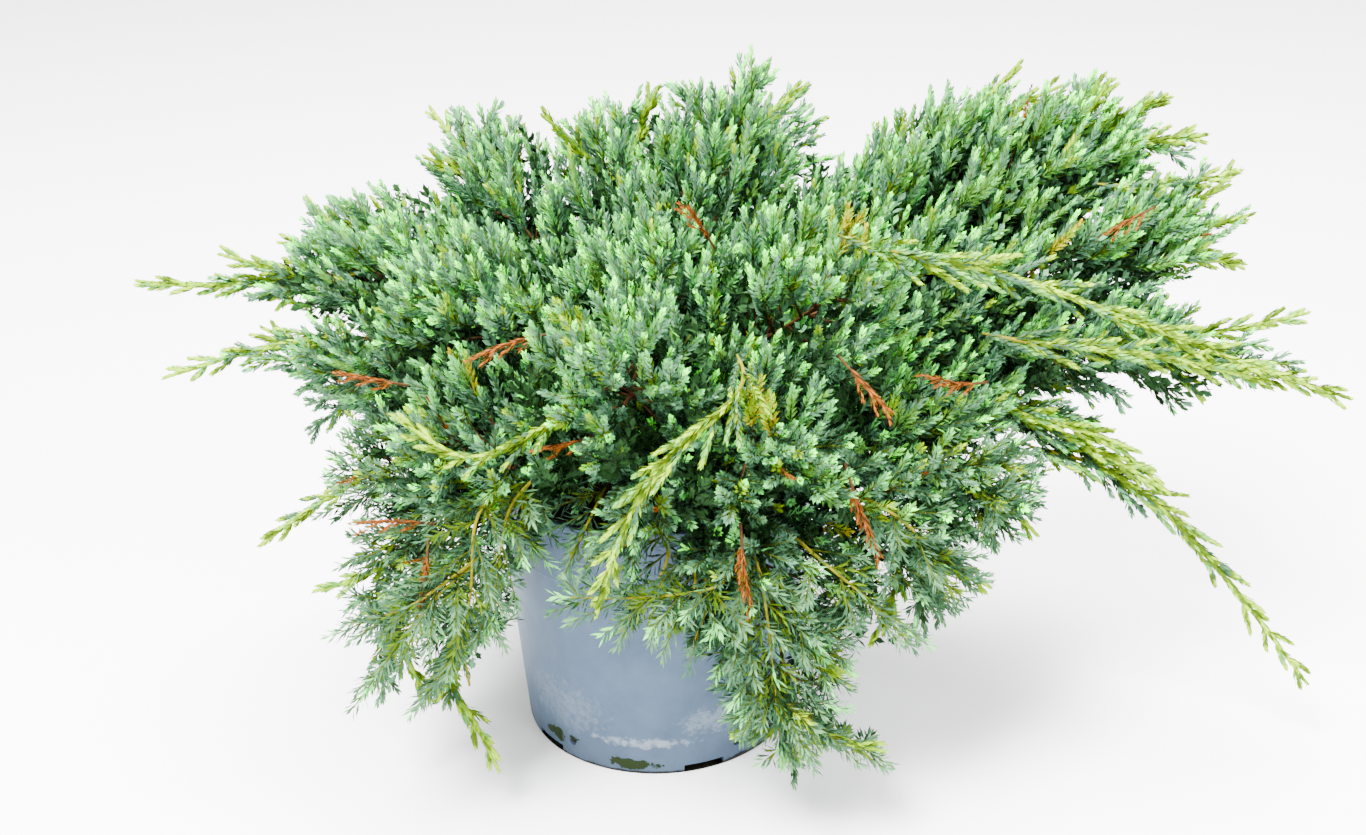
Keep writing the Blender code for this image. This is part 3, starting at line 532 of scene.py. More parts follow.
def clear(path):
    # free of the pot's wall, the soil and the floor
    flat = np.hypot(path[:, 0], path[:, 1])
    overRim = path[:, 2] > potSet["height"] + 5 * mm
    outside = flat > potSet["rimRadius"] + 5 * mm
    inside = (flat < potSet["rimRadius"] - 9 * mm) & (path[:, 2] > (soilSet["top"] + 6) * mm)
    return (overRim | outside | inside).all() and path[:, 2].min() > 5 * mm


def inRoom(limb, end):
    apart = np.linalg.norm(limb.line - end, axis=1)
    nearest = int(apart.argmin())
    return apart[nearest] <= limb.room[nearest] + 2 * mm


def combAt(point):
    low, high = growthSet["combFrom"], growthSet["combTo"]
    return min(1.0, max(0.0, (point[2] - low) / (high - low)))


def addShoot(root, way, size, limb, style):
    # one shoot, shortened where the limb's room is short
    comb = combAt(root)
    if style == "shoot" and dice.random() < growthSet["dead"]:
        style = "dead"
    for shorter in (1.0, 0.8, 0.62):
        long_ = size * shorter
        if long_ < growthSet["shootLeast"]:
            return False
        end = root + way * long_ + np.array([0.0, 0.0, growthSet["lift"] * long_ * (0.3 + 0.7 * comb)])
        path = curve(root, root + way * long_ * 0.55, end, 5)
        if (limb is None or inRoom(limb, end)) and clear(path):
            shoots.append((path, style))
            return True
    return False


def growBranch(limb, root, way, size, style, flat=1.0):
    end = root + way * size + np.array([0.0, 0.0, growthSet["lift"] * size])
    branch = curve(root, root + way * size * 0.55, end, 9)
    if not clear(branch):
        size *= 0.5
        branch = curve(root, root + way * size * 0.55, root + way * size, 9)
        if not clear(branch):
            return
    ways, side, up = framesAlong(branch)
    larger = 1.0 + growthSet["lowLarger"] * (1.0 - combAt(root))
    count = max(2, int(size / growthSet["shootEvery"] / larger))
    reached = 0.0
    for number in range(count):
        place = 0.12 + 0.86 * ((number + dice.uniform(0.2, 0.8)) / count) ** 0.8
        at = int(place * 8)
        spot = alongPath(branch, [place])[0]
        spin = number * math.radians(137.5) + dice.uniform(-0.5, 0.5)
        fork = math.radians(growthSet["shootFork"] + dice.uniform(-9, 9))
        out = unit(math.cos(spin) * side[at] + flat * math.sin(spin) * up[at])
        comb = growthSet["comb"] * combAt(spot) * unit(spot - heart)
        turned = unit(math.cos(fork) * ways[at] + math.sin(fork) * out + comb)
        if addShoot(spot, turned, growthSet["shootLength"] * larger * dice.uniform(0.7, 1.2), limb, style):
            reached = max(reached, place)
    comb = 0.5 * growthSet["comb"] * combAt(branch[-1]) * unit(branch[-1] - heart)
    length = growthSet["shootLength"] * larger * dice.uniform(0.85, 1.25)
    if addShoot(branch[-1], unit(ways[-1] + comb), length, limb, style):
        reached = 1.0
    if reached:
        brownRods.append((alongPath(branch, np.linspace(0.0, reached / 2, 3)), np.linspace(0.8, 0.5, 3) * mm))
        greenRods.append((alongPath(branch, np.linspace(reached / 2, reached, 3)), np.linspace(0.5, 0.3, 3) * mm))


def growLeader(path, stout, style):
    # a slender leading shoot: close needles on its stem, with side shoots that shorten outward
    habit = leaderHabits[style]
    length = pathLength(path)
    outer = alongPath(path, np.linspace(habit["clothedFrom"], 1.0, 25))
    shoots.append((outer, habit["stemStyle"]))
    rods = goldenRods if habit["golden"] else greenRods
    taper = np.minimum(1.0, 0.4 + np.linspace(0.0, 5.0, len(path)))
    rods.append((path, np.linspace(stout, 0.4 * mm, len(path)) * taper))
    ways, side, up = framesAlong(path)
    count = int(length / habit["every"])
    for number in range(count):
        place = habit["from"] + (1.0 - habit["from"]) * (number + dice.uniform(0.1, 0.7)) / count
        left = (1.0 - place) * length
        size = min(habit["longest"], habit["least"] + habit["grow"] * left) * dice.uniform(0.8, 1.15)
        if left < 6 * mm:
            continue
        at = int(place * (len(path) - 1))
        spin = number * math.radians(habit["turn"]) + dice.uniform(-0.4, 0.4)
        fork = math.radians(habit["fork"] + dice.uniform(-7, 7))
        out = unit(math.cos(spin) * side[at] + habit["flat"] * math.sin(spin) * up[at])
        way = unit(math.cos(fork) * ways[at] + math.sin(fork) * out)
        spot = alongPath(path, [place])[0]
        end = spot + way * size
        twig = curve(spot, spot + way * size * 0.5, end + ways[at] * size * 0.12, 5)
        if clear(twig):
            shoots.append((twig, habit["sideStyle"] if place < 0.62 else habit["outerStyle"]))
            thinner = greenRods if style == "strand" else rods
            thinner.append((twig[::2], np.linspace(0.5, 0.3, 3) * mm))


def growMass(limb):
    line = limb.line
    ways, side, up = framesAlong(line)
    flat = growthSet["flat"] if limb.tip[2] < growthSet["hangingBelow"] else 1.0
    rods = goldenRods if flat < 1.0 else brownRods
    end = limb.slim if limb.name in growthSet["noLeader"] else 1.0
    rods.append((alongPath(line, np.linspace(0.0, end, 11)), np.linspace(limb.thin, 0.6 * mm, 11)))
    every = growthSet["branchEvery"] * (growthSet["denser"] if limb.name in growthSet["dense"] else 1.0)
    count = int(limb.length * min(1.0, limb.slim + 0.05) / every)
    for number in range(count):
        share = limb.slim * (0.02 + 0.96 * (number + dice.uniform(0.1, 0.9)) / count)
        at = int(share * 40)
        spin = number * math.radians(137.5) + dice.uniform(-0.4, 0.4)
        fork = math.radians(growthSet["branchFork"] * (1.15 - 0.45 * share) + dice.uniform(-8, 8))
        out = unit(math.cos(spin) * side[at] + flat * math.sin(spin) * up[at])
        way = unit(math.cos(fork) * ways[at] + math.sin(fork) * out)
        wide = max(0.35 * envelope(limb, share), envelope(limb, share) - growthSet["shellDepth"])
        size = wide / math.sin(fork) * dice.uniform(0.7, 1.05)
        ahead = limb.length * (1.0 - share) + growthSet["tipRoom"]
        size = min(size, ahead / math.cos(fork))
        growBranch(limb, line[at], way, size, "shoot", flat)
    if limb.entry:
        growInner(limb)
    if limb.name in growthSet["noLeader"]:
        return
    start = min(limb.slim, 1.0 - growthSet["tipLeader"] / limb.length)
    style = "leader" if limb.slim < 0.85 or np.hypot(*limb.tip[:2]) > growthSet["leaderReach"] else "twig"
    growLeader(alongPath(line, np.linspace(start, 1.0, 17)), 1.3 * mm, style)


def growInner(limb):
    # twigs along the bough itself, which hide the soil
    bough = limb.point(np.linspace(limb.entry * 0.3, limb.entry, 17))
    ways, side, up = framesAlong(bough)
    count = int(pathLength(bough) / growthSet["innerEvery"])
    for number in range(count):
        at = int(16 * (number + dice.uniform(0.1, 0.9)) / count)
        spin = number * math.radians(137.5) + dice.uniform(-0.4, 0.4)
        fork = math.radians(58 + dice.uniform(-9, 9))
        out = math.cos(spin) * side[at] + math.sin(spin) * up[at]
        way = unit(math.cos(fork) * ways[at] + math.sin(fork) * out)
        growBranch(None, bough[at], way, growthSet["innerLength"] * dice.uniform(0.7, 1.1), "shoot")


def growSide(style, name, share, heading, reach, height):
    limb = limbNamed[name]
    tip = placeOf(heading, reach, height)
    root = alongPath(limb.line, [share])[0]
    ways = framesAlong(limb.line)[0]
    elbow = root + ways[int(share * 40)] * 0.4 * np.linalg.norm(tip - root)
    growLeader(curve(root, elbow, tip, 17), 1.2 * mm, style)


for limb in limbs:
    growMass(limb)
for row in sideLeaders:
    growSide("leader", *row)
for row in sideTwigs:
    growSide("twig", *row)


def smoothLine(places, points):
    # a smooth line through named places
    knots = np.array([placeOf(*place) for place in places])
    share = np.linspace(0, len(knots) - 1, points)
    line = np.stack([np.interp(share, range(len(knots)), knots[:, axis]) for axis in range(3)], axis=1)
    for _ in range(12):
        line[1:-1] = (line[:-2] + 2 * line[1:-1] + line[2:]) / 4
    return line


def near(point, places, radius):
    return any(np.linalg.norm(point - placeOf(*place)) < radius for place in places)


def sunk(place):
    # a point inside the crown, behind the one given
    heading, reach, height = place
    return heading, reach - growthSet["sunk"] / mm, height + 3


def treeOf(points):
    tree = kdtree.KDTree(len(points))
    for index, point in enumerate(points):
        tree.insert(point, index)
    tree.balance()
    return tree


openCentres = np.array([placeOf(*row[:3]) for row in openSky])
openRadii = np.array([row[3] for row in openSky]) * mm


def inOpen(path):
    # whether a shoot reaches into a place open to the sky
    points = np.array([(path[0] + path[-1]) / 2, path[-1]])
    apart = np.linalg.norm(openCentres[:, None] - points, axis=2)
    return (apart < openRadii[:, None]).any()


def stays(path, style):
    return style != "shoot" or not (near(path[-1], hollows, growthSet["hollow"]) or inOpen(path))


def growSurface():
    # what lies over the crown; shoots that would fill a hollow or an open place are taken out,
    # with the twigs that this leaves bare
    shoots[:] = [one for one in shoots if stays(*one)]
    tree = treeOf(np.concatenate([path[[0, -1]] for path, _ in shoots]))
    for rods in (brownRods, greenRods):
        rods[:] = [rod for rod in rods if tree.find(rod[0][-1])[2] < growthSet["bare"]]
    for places in surfaceLeaders:
        growLeader(smoothLine((sunk(places[0]), *places), 25), 1.0 * mm, "leader")
    for places in strands:
        growLeader(smoothLine((sunk(places[0]), *places), 25), 0.9 * mm, "strand")
    for places in deadTwigs:
        path = smoothLine(places, 9) - unit(placeOf(*places[1]) - heart) * growthSet["deadSunk"]
        shoots.append((path[2:], "dead"))
        brownRods.append((path, np.linspace(0.7, 0.4, 9) * mm))
        ways, side, up = framesAlong(path)
        for number in range(6):
            at = 2 + number
            turn = side[at] if number % 2 else -side[at]
            end = path[at] + unit(ways[at] + 0.5 * turn + 0.3 * up[at]) * dice.uniform(6, 11) * mm
            shoots.append((np.linspace(path[at], end, 4), "dead"))


growSurface()


def coverCounts(points, tree, steps):
    # how many shoot tips lie further out than each point, in the way out from the heart
    outward = unit(points - heart)
    radius = growthSet["coverRadius"]
    return np.array(
        [sum(len(tree.find_range(p + way * step, radius)) for step in steps) for p, way in zip(points, outward)]
    )


tips = np.array([path[-1] for path, _ in shoots])
tipTree = treeOf(tips)
counts = coverCounts(tips, tipTree, growthSet["coverSteps"]) + 0.5 * dice.random(len(tips))
cover = np.argsort(np.argsort(counts)) / len(tips)


# dark shoots between neighbouring limbs, kept where others cover them, so that no light
# shows through the crown; their near-black colour is painted shade
fillSet = {
    "nearest": 22 * mm,
    "furthest": 110 * mm,
    "every": 6 * mm,
    "lastShare": 0.8,
    "length": 20 * mm,
    "lowest": 0.10,
    "around": 25 * mm,
    "leastAround": 12,
    "lopsided": 0.42,
    "steps": (9 * mm, 18 * mm),
    "leastCover": 4,
    "slender": ("right_leader", "right_arch", "left_leader", "left_weep", "left_hang", "left_hang_outer", "back_low"),
    "slenderShare": 0.42,
}


def fillBetween(one, other, settings):
    slender = one.name in settings["slender"] or other.name in settings["slender"]
    last = settings["slenderShare"] if slender else settings["lastShare"]
    shares = np.arange(0.0, last, settings["every"] / one.length)
    ours, theirs = alongPath(one.line, shares), alongPath(other.line, shares)
    apart = np.linalg.norm(ours - theirs, axis=1)
    paths = []
    for a, b, gap in zip(ours, theirs, apart):
        middle = (a + b) / 2
        if not settings["nearest"] < gap < settings["furthest"] or middle[2] < settings["lowest"]:
            continue
        for _ in range(3):
            way = unit(unit(middle - heart) + dice.uniform(-0.9, 0.9, 3))
            path = np.linspace(middle, middle + way * settings["length"] * dice.uniform(0.6, 1.0), 4)
            if clear(path):
                paths.append(path)
    return paths


def surrounded(point):
    # whether shoot tips lie on all sides of a point
    found = tipTree.find_range(point, fillSet["around"])
    if len(found) < fillSet["leastAround"]:
        return False
    ways = unit(np.array([place for place, _, _ in found]) - point)
    return np.linalg.norm(ways.mean(axis=0)) < fillSet["lopsided"]


fillers = [
    path for index, one in enumerate(limbs) for other in limbs[index + 1 :] for path in fillBetween(one, other, fillSet)
]
covers = coverCounts(np.array([path[-1] for path in fillers]), tipTree, fillSet["steps"])
fillers = [
    path
    for path, count in zip(fillers, covers)
    if count >= fillSet["leastCover"] and surrounded(path[-1]) and not inOpen(path)
]
shoots += [(path, "filler") for path in fillers]
cover = np.concatenate([cover, np.ones(len(fillers))])
print("shoots:", len(shoots), "of them dark fillers:", len(fillers))

# needles: darker and lighter tones of each kind; the near-black deep kind, the shade kind and the moss kind are painted
# shade, teal is a darker copy of blue that paints shade low and inside the crown, and pale is in part a painted
# highlight
needleKinds = {
    "pale": ((0.140, 0.82, 0.050), (0.240, 0.98, 0.100)),
    "silver": ((0.070, 0.31, 0.070), (0.130, 0.46, 0.115)),
    "blue": ((0.040, 0.125, 0.062), (0.100, 0.230, 0.120)),
    "green": ((0.048, 0.170, 0.022), (0.115, 0.290, 0.045)),
    "mist": ((0.036, 0.105, 0.042), (0.084, 0.190, 0.080)),
    "teal": ((0.015, 0.050, 0.022), (0.044, 0.108, 0.052)),
    "shade": ((0.007, 0.026, 0.008), (0.025, 0.068, 0.020)),
    "deep_shade": ((0.003, 0.011, 0.003), (0.009, 0.030, 0.007)),
    "fresh": ((0.100, 0.200, 0.001), (0.270, 0.450, 0.002)),
    "gold": ((0.160, 0.160, 0.001), (0.360, 0.310, 0.003)),
    "moss_shade": ((0.026, 0.060, 0.001), (0.078, 0.140, 0.002)),
    "dry": ((0.085, 0.020, 0.002), (0.180, 0.050, 0.005)),
}
# how each style of shoot is clothed: the opening in degrees at its foot, how far it closes
shootLooks = {
    "low": {"opening": 50, "closing": 0.35, "every": 1.7, "length": 6.8, "shorten": 0.25, "width": 1.25},
    "high": {"opening": 33, "closing": 0.35, "every": 1.25, "length": 4.9, "shorten": 0.38, "width": 1.40},
    "leader": {"opening": 19, "closing": 0.40, "every": 1.4, "length": 6.0, "shorten": 0.30, "width": 1.70, "mixed": 0.4},
    "side": {"opening": 24, "closing": 0.40, "every": 1.3, "length": 5.4, "shorten": 0.30, "width": 1.50, "mixed": 0.3},
    "spur": {"opening": 30, "closing": 0.40, "every": 1.3, "length": 5.0, "shorten": 0.30, "width": 1.40},
    "open": {"opening": 54, "closing": 0.35, "every": 1.7, "length": 7.2, "shorten": 0.22, "width": 1.25},
    "dead": {"opening": 17, "closing": 0.20, "every": 1.9, "length": 4.2, "shorten": 0.30, "width": 0.90},
    "sparse": {"opening": 44, "closing": 0.30, "every": 4.1, "length": 6.9, "shorten": 0.20, "width": 2.80},
}
hiddenLook = {"from": 0.42, "every": 1.30, "width": 1.15}  # half hidden shoots get fewer and wider needles
needleSet = {"widest": 0.58, "whorlTurn": 1.35, "fold": 0.5, "mostInPiece": 95000}
shadowSet = {"front": -0.07, "halfWidth": 0.10, "low": 0.15}  # where the gaps between shoots are darkest
zones = (0.34, 0.76)         # where a shoot's dark foot, painted shade, ends and its pale tip, in part a painted highlight, begins
needles = {kind: [] for kind in needleKinds}


def pick(choices):
    names, weights = zip(*choices)
    return names[int(np.searchsorted(np.cumsum(weights), dice.random() * sum(weights)))]


def kindsOf(style, covered, tip):
    # the kinds of a shoot's foot, body and tip, with painted shade in the dark kinds given to covered, low and filling
    # shoots
    if style == "dead":
        return "dry", "dry", "dry"
    shadow = tip[1] < shadowSet["front"] and abs(tip[0]) < shadowSet["halfWidth"] or tip[2] < shadowSet["low"]
    # painted shade: filling shoots get only the near-black and shade kinds
    if style == "filler":
        inner = pick((("deep_shade", 6), ("shade", 2 if shadow else 12)))
        return inner, inner, inner
    # painted shade: the dark moss kind mixed among a leader's needles stands in for the shade between them
    if style == "leader":
        return pick((("moss_shade", 6), ("green", 4))), pick((("fresh", 8), ("moss_shade", 2))), "fresh"
    if style == "side":
        return pick((("moss_shade", 6), ("teal", 4))), pick((("green", 5), ("fresh", 3), ("moss_shade", 4), ("teal", 2))), pick((("fresh", 6), ("green", 4)))
    if style == "open":
        body = pick((("teal", 9), ("mist", 2), ("moss_shade", 2)))
        return pick((("moss_shade", 5), ("teal", 2), ("deep_shade", 4))), body, pick((("mist", 6), ("silver", 3), ("teal", 3)))
    if covered < 0.75 and near(tip, goldenPatches, growthSet["patch"]) and dice.random() < 0.6:
        return "gold", pick((("fresh", 4), ("gold", 6))), pick((("fresh", 6), ("gold", 3), ("pale", 1)))
    # painted shade: the more a shoot is covered by others, the darker its kinds
    if covered > 0.72:
        inner = pick((("deep_shade", 10), ("shade", 4), ("moss_shade", 1)) if shadow else (("shade", 9), ("teal", 5), ("deep_shade", 2), ("moss_shade", 1)))
        return "deep_shade" if shadow else "shade", inner, inner
    if covered > 0.5:
        body = pick((("teal", 8), ("deep_shade", 4), ("blue", 2)) if shadow else (("blue", 6), ("teal", 5), ("green", 3)))
        return "deep_shade" if shadow else "shade", body, pick((("teal", 5), ("blue", 5)) if shadow else (("blue", 5), ("silver", 4)))
    # painted light: shoots low on the plant get darker kinds and shoots high in the crown more pale tips, as if lit
    # from above; pale tips are in part the shoot's own new growth
    high = min(1.0, max(0.0, (tip[2] - 0.14) / 0.10))
    right = high * min(1.0, max(0.0, (tip[0] - 0.06) / 0.06))
    foot = pick((("deep_shade", 5 - 5 * high), ("teal", 4), ("blue", 4 * high), ("green", 2 * high + 2 * right), ("moss_shade", 3 - 2 * high)))
    bodyKinds = (("green", (3 + 4 * right) * high), ("blue", 1 + (7 - 4 * right) * high), ("teal", 9 - 9 * high))
    body = pick((*bodyKinds, ("silver", 2 * high), ("fresh", 0.3)))
    tipKinds = (("pale", 4 * high), ("silver", 2 + 4 * high), ("mist", 6 - 6 * high), ("blue", 1), ("teal", 3 - 3 * high), ("fresh", 0.6))
    return foot, body, pick(tipKinds)


def lookOf(style, covered, comb):
    if style == "filler" or style == "shoot" and covered > 0.62:
        return shootLooks["sparse"]
    if style in shootLooks:
        return shootLooks[style]
    low, high = shootLooks["low"], shootLooks["high"]
    look = {key: low[key] + comb * (high[key] - low[key]) for key in low}
    if covered > hiddenLook["from"]:
        look["every"] *= hiddenLook["every"]
        look["width"] *= hiddenLook["width"]
    return look


def clothe(path, kinds, look):
    # whorls of three needles along a shoot, closing up and shorter towards its tip
    count = max(3, int(pathLength(path) / (look["every"] * mm)))
    share = np.linspace(0.04, 1.0, count)
    middle = alongPath(path, share)
    ways, side, up = framesAlong(middle)
    angles = dice.uniform(0, 6.28) + np.arange(count)[:, None] * needleSet["whorlTurn"]
    angles = angles + np.arange(3) * 2 * math.pi / 3 + dice.uniform(-0.3, 0.3, (count, 3))
    out = np.cos(angles)[..., None] * side[:, None] + np.sin(angles)[..., None] * up[:, None]
    closing = np.clip((share - 0.5) / 0.5, 0, 1)[:, None]
    lean = math.radians(look["opening"]) * (1.0 - look["closing"] * closing) * dice.uniform(0.84, 1.16, (count, 3))
    way = np.cos(lean)[..., None] * ways[:, None] + np.sin(lean)[..., None] * out
    long_ = look["length"] * mm * (1.0 - look["shorten"] * closing) * dice.uniform(0.85, 1.15, (count, 3))
    base = np.repeat(middle[:, None], 3, axis=1) + out * 0.4 * mm
    along = np.repeat(ways[:, None], 3, axis=1)
    width = np.full((count, 3, 1), look["width"] * mm)
    packed = np.concatenate([base, way, along, long_[..., None], width], axis=2)
    ends = [0, int(count * zones[0]), int(count * zones[1]), count]
    for zone, (first, last) in enumerate(zip(ends, ends[1:])):
        part = packed[first:last].reshape(-1, 11)
        other = dice.random(len(part)) < look.get("mixed", 0.12)
        needles[kinds[zone]].append(part[~other])
        needles[kinds[(zone + 2) % 3]].append(part[other])


for (path, style), covered in zip(shoots, cover):
    clothe(path, kindsOf(style, covered, path[-1]), lookOf(style, covered, combAt(path[0])))
    if style == "shoot" and covered < hiddenLook["from"]:
        greenRods.append((path[::4], np.array([0.5, 0.3]) * mm))


def meshFromArrays(name, points, faces):
    mesh = bpy.data.meshes.new(name)
    corners = faces.shape[1]
    mesh.vertices.add(len(points))
    mesh.vertices.foreach_set("co", points.astype(np.float32).ravel())
    mesh.loops.add(faces.size)
    mesh.loops.foreach_set("vertex_index", faces.astype(np.int32).ravel())
    mesh.polygons.add(len(faces))
    mesh.polygons.foreach_set("loop_start", np.arange(0, faces.size, corners, dtype=np.int32))
    mesh.update(calc_edges=True)
    mesh.validate()
    obj = bpy.data.objects.new(name, mesh)
    scene.collection.objects.link(obj)
    return obj


def tubes(name, rods, sides, relief=0.0):
    # each rod is (path, radii); all become one mesh with closed ends
    points, faces, count = [], [], 0
    noise = np.random.default_rng(7)
    angles = np.arange(sides) * 2 * math.pi / sides
    for path, radii in rods:
        ways, side, up = framesAlong(path)
        spokes = np.cos(angles)[None, :, None] * side[:, None] + np.sin(angles)[None, :, None] * up[:, None]
        radii = np.asarray(radii)[:, None, None]
        if relief:
            ridges = noise.uniform(-1, 1, (1, sides, 1)) * 0.5 + noise.uniform(-1, 1, (len(path), sides, 1)) * 0.5
            radii = radii * (1.0 + relief * ridges)
        body = (path[:, None] + spokes * radii).reshape(-1, 3)
        grid = np.arange(len(path) * sides).reshape(len(path), sides) + count
        nextOne = np.roll(grid, -1, axis=1)
        quads = np.stack([grid[:-1], nextOne[:-1], nextOne[1:], grid[1:]], axis=-1).reshape(-1, 4)
        faces.append(quads[:, [0, 1, 2]])
        faces.append(quads[:, [0, 2, 3]])
        points.append(body)
        points.append(path[[0, -1]])
        foot, tip = count + len(body), count + len(body) + 1
        around = np.arange(sides)
        faces.append(np.stack([np.full(sides, foot), grid[0][(around + 1) % sides], grid[0]], axis=-1))
        faces.append(np.stack([np.full(sides, tip), grid[-1], grid[-1][(around + 1) % sides]], axis=-1))
        count += len(body) + 2
    return meshFromArrays(name, np.concatenate(points), np.concatenate(faces))


# materials
def shaderOf(name, roughness, specular=0.5):
    material = bpy.data.materials.new(name)
    material.use_nodes = True
    shader = material.node_tree.nodes["Principled BSDF"]
    shader.inputs["Roughness"].default_value = roughness
    shader.inputs["Specular IOR Level"].default_value = specular
    return material, material.node_tree, shader


def node(tree, kind, **values):
    made = tree.nodes.new(kind)
    for key, value in values.items():
        if key in made.inputs:
            made.inputs[key].default_value = value
        else:
            setattr(made, key, value)
    return made


def ramp(tree, source, stops):
    made = tree.nodes.new("ShaderNodeValToRGB")
    elements = made.color_ramp.elements
    while len(elements) < len(stops):
        elements.new(0.5)
    for element, (place, colour) in zip(elements, stops):
        element.position = place
        element.color = (*colour, 1.0)
    tree.links.new(source, made.inputs["Fac"])
    return made


def speckledMaterial(name, darker, lighter, scale, roughness, bump=0.0):
    material, tree, shader = shaderOf(name, roughness, 0.04)
    where = tree.nodes.new("ShaderNodeTexCoord")
    noise = node(tree, "ShaderNodeTexNoise", Scale=scale, Detail=4.0, Roughness=0.65)
    tree.links.new(where.outputs["Object"], noise.inputs["Vector"])
    tones = ramp(tree, noise.outputs["Fac"], [(0.3, darker), (0.7, lighter)])
    tree.links.new(tones.outputs["Color"], shader.inputs["Base Color"])
    if bump:
        raised = node(tree, "ShaderNodeBump", Strength=0.6, Distance=bump)
        tree.links.new(noise.outputs["Fac"], raised.inputs["Height"])
        tree.links.new(raised.outputs["Normal"], shader.inputs["Normal"])
    return material


massNames = ["foliage_" + limb.name for limb in limbs]


def needlePiece(name, packed, material):
    # each needle is a blade of two faces, folded along its middle
    base, way, along, long_, width = np.split(packed, (3, 6, 9, 10), axis=1)
    side = unit(np.cross(way, along))
    inward = np.cross(side, way)
    half = width / 2
    edge = base + way * long_ * needleSet["widest"] + inward * half * needleSet["fold"]
    tip = base + way * long_ + inward * long_ * 0.08
    points = np.stack([base, edge - side * half, tip, edge + side * half], axis=1).reshape(-1, 3)
    first = np.arange(len(packed))[:, None, None] * 4
    pattern = np.array([[0, 2, 1], [0, 3, 2]])[None]
    piece = meshFromArrays(name, points, (first + pattern).reshape(-1, 3))
    piece.data.materials.append(material)
    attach(piece, "root")
    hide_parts(*massNames)


total = 0
for kind, (darker, lighter) in needleKinds.items():
    packed = np.concatenate(needles[kind])
    material = speckledMaterial("needles_" + kind, darker, lighter, 260.0, 0.5)
    for number, part in enumerate(np.array_split(packed, math.ceil(len(packed) / needleSet["mostInPiece"]))):
        needlePiece(f"needles_{kind}_{number + 1}", part, material)
    total += len(packed)
    print("needles", kind, len(packed))
print("needles in all:", total)

# twigs and bark
twigKinds = {
    "twigs_brown": (brownRods, 4, (0.020, 0.010, 0.004), (0.065, 0.028, 0.010)),
    "twigs_green": (greenRods, 3, (0.024, 0.040, 0.002), (0.065, 0.080, 0.006)),
    "twigs_golden": (goldenRods, 6, (0.075, 0.080, 0.002), (0.17, 0.15, 0.006)),
}
for name, (rods, sides, darker, lighter) in twigKinds.items():
    piece = tubes(name, rods, sides)
    piece.data.materials.append(speckledMaterial(name, darker, lighter, 420.0, 0.7, 0.3 * mm))
    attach(piece, "root")
    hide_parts(*massNames)

barkMaterial = speckledMaterial("flaky_bark", (0.05, 0.022, 0.012), (0.24, 0.12, 0.06), 190.0, 0.9, 1.2 * mm)


def barkPiece(name, rods, sides, relief, replaced):
    piece = tubes(name, rods, sides, relief)
    piece.data.materials.append(barkMaterial)
    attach(piece, "root")
    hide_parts(*replaced)


boughs = [limb for limb in limbs if limb.entry]
boughRods = [
    (limb.point(np.linspace(0.0, limb.entry + 0.02, 26)), np.linspace(limb.thick, limb.thin, 26)) for limb in boughs
]
barkPiece("boughs_bark", boughRods, 10, 0.13, ["bough_" + limb.name for limb in boughs])
heights = (soilSet["top"] + np.linspace(0, trunkShape[-1][0], 40)) * mm
trunkPath = np.array([trunkPoint(height) for height in heights])
barkPiece("trunk_bark", [(trunkPath, [trunkRadius(height) for height in heights])], 20, 0.12, ["trunk"])
print("twigs and bark made")


# pot: grey-blue plastic with lime bloom and algae near its foot, and painted shade mixed with grime in its notches and
# round its foot; a patch's place is a heading and a height, followed by its half width in degrees, its half height and
# its strength
potLook = {
    "darker": (0.034, 0.053, 0.081),
    "lighter": (0.055, 0.082, 0.123),
    "bloom": (0.145, 0.172, 0.205),
    "algae": (0.006, 0.013, 0.0005),
    # painted shade mixed with grime: the near-black of the notches and of the line round the foot
    "shade_and_grime": (0.004, 0.004, 0.003),
    "shadeAndGrimeFrom": 2.0 * mm,
}
bloomPatches = (
    (-98, 19, 22, 3.5, 0.9),
    (-64, 30, 20, 9, 0.55),
    (-132, 32, 22, 16, 0.30),
    (-40, 26, 12, 12, 0.7),
    (60, 22, 60, 8, 0.5),
    (150, 24, 40, 12, 0.4),
)
algaePatches = (
    (-101, 6, 15, 4, 1.0),
    (-134, 12, 12, 5, 1.0),
    (20, 7, 30, 4, 1.0),
    (110, 9, 26, 5, 1.0),
)
# painted shade mixed with grime: dark patches low on the foot, two of them over notches
shadeAndGrimePatches = (
    (-72, 1.5, 11, 3.6, 1.0),
    (-48, 1.0, 20, 2.4, 1.0),
    (-140, 1.0, 30, 1.6, 1.0),
)


def mixIn(tree, below, colour, amount):
    made = node(tree, "ShaderNodeMixRGB")
    made.inputs["Color2"].default_value = (*colour, 1.0)
    tree.links.new(amount, made.inputs["Fac"])
    tree.links.new(below, made.inputs["Color1"])
    return made.outputs["Color"]


def sum_(tree, operation, first, second):
    made = node(tree, "ShaderNodeMath", operation=operation)
    for socket, value in zip(made.inputs, (first, second)):
        if isinstance(value, (int, float)):
            socket.default_value = value
        else:
            tree.links.new(value, socket)
    return made.outputs["Value"]


def mapped(tree, source, low, high):
    made = node(tree, "ShaderNodeMapRange")
    made.inputs["From Min"].default_value = low
    made.inputs["From Max"].default_value = high
    tree.links.new(source, made.inputs["Value"])
    return made.outputs["Result"]


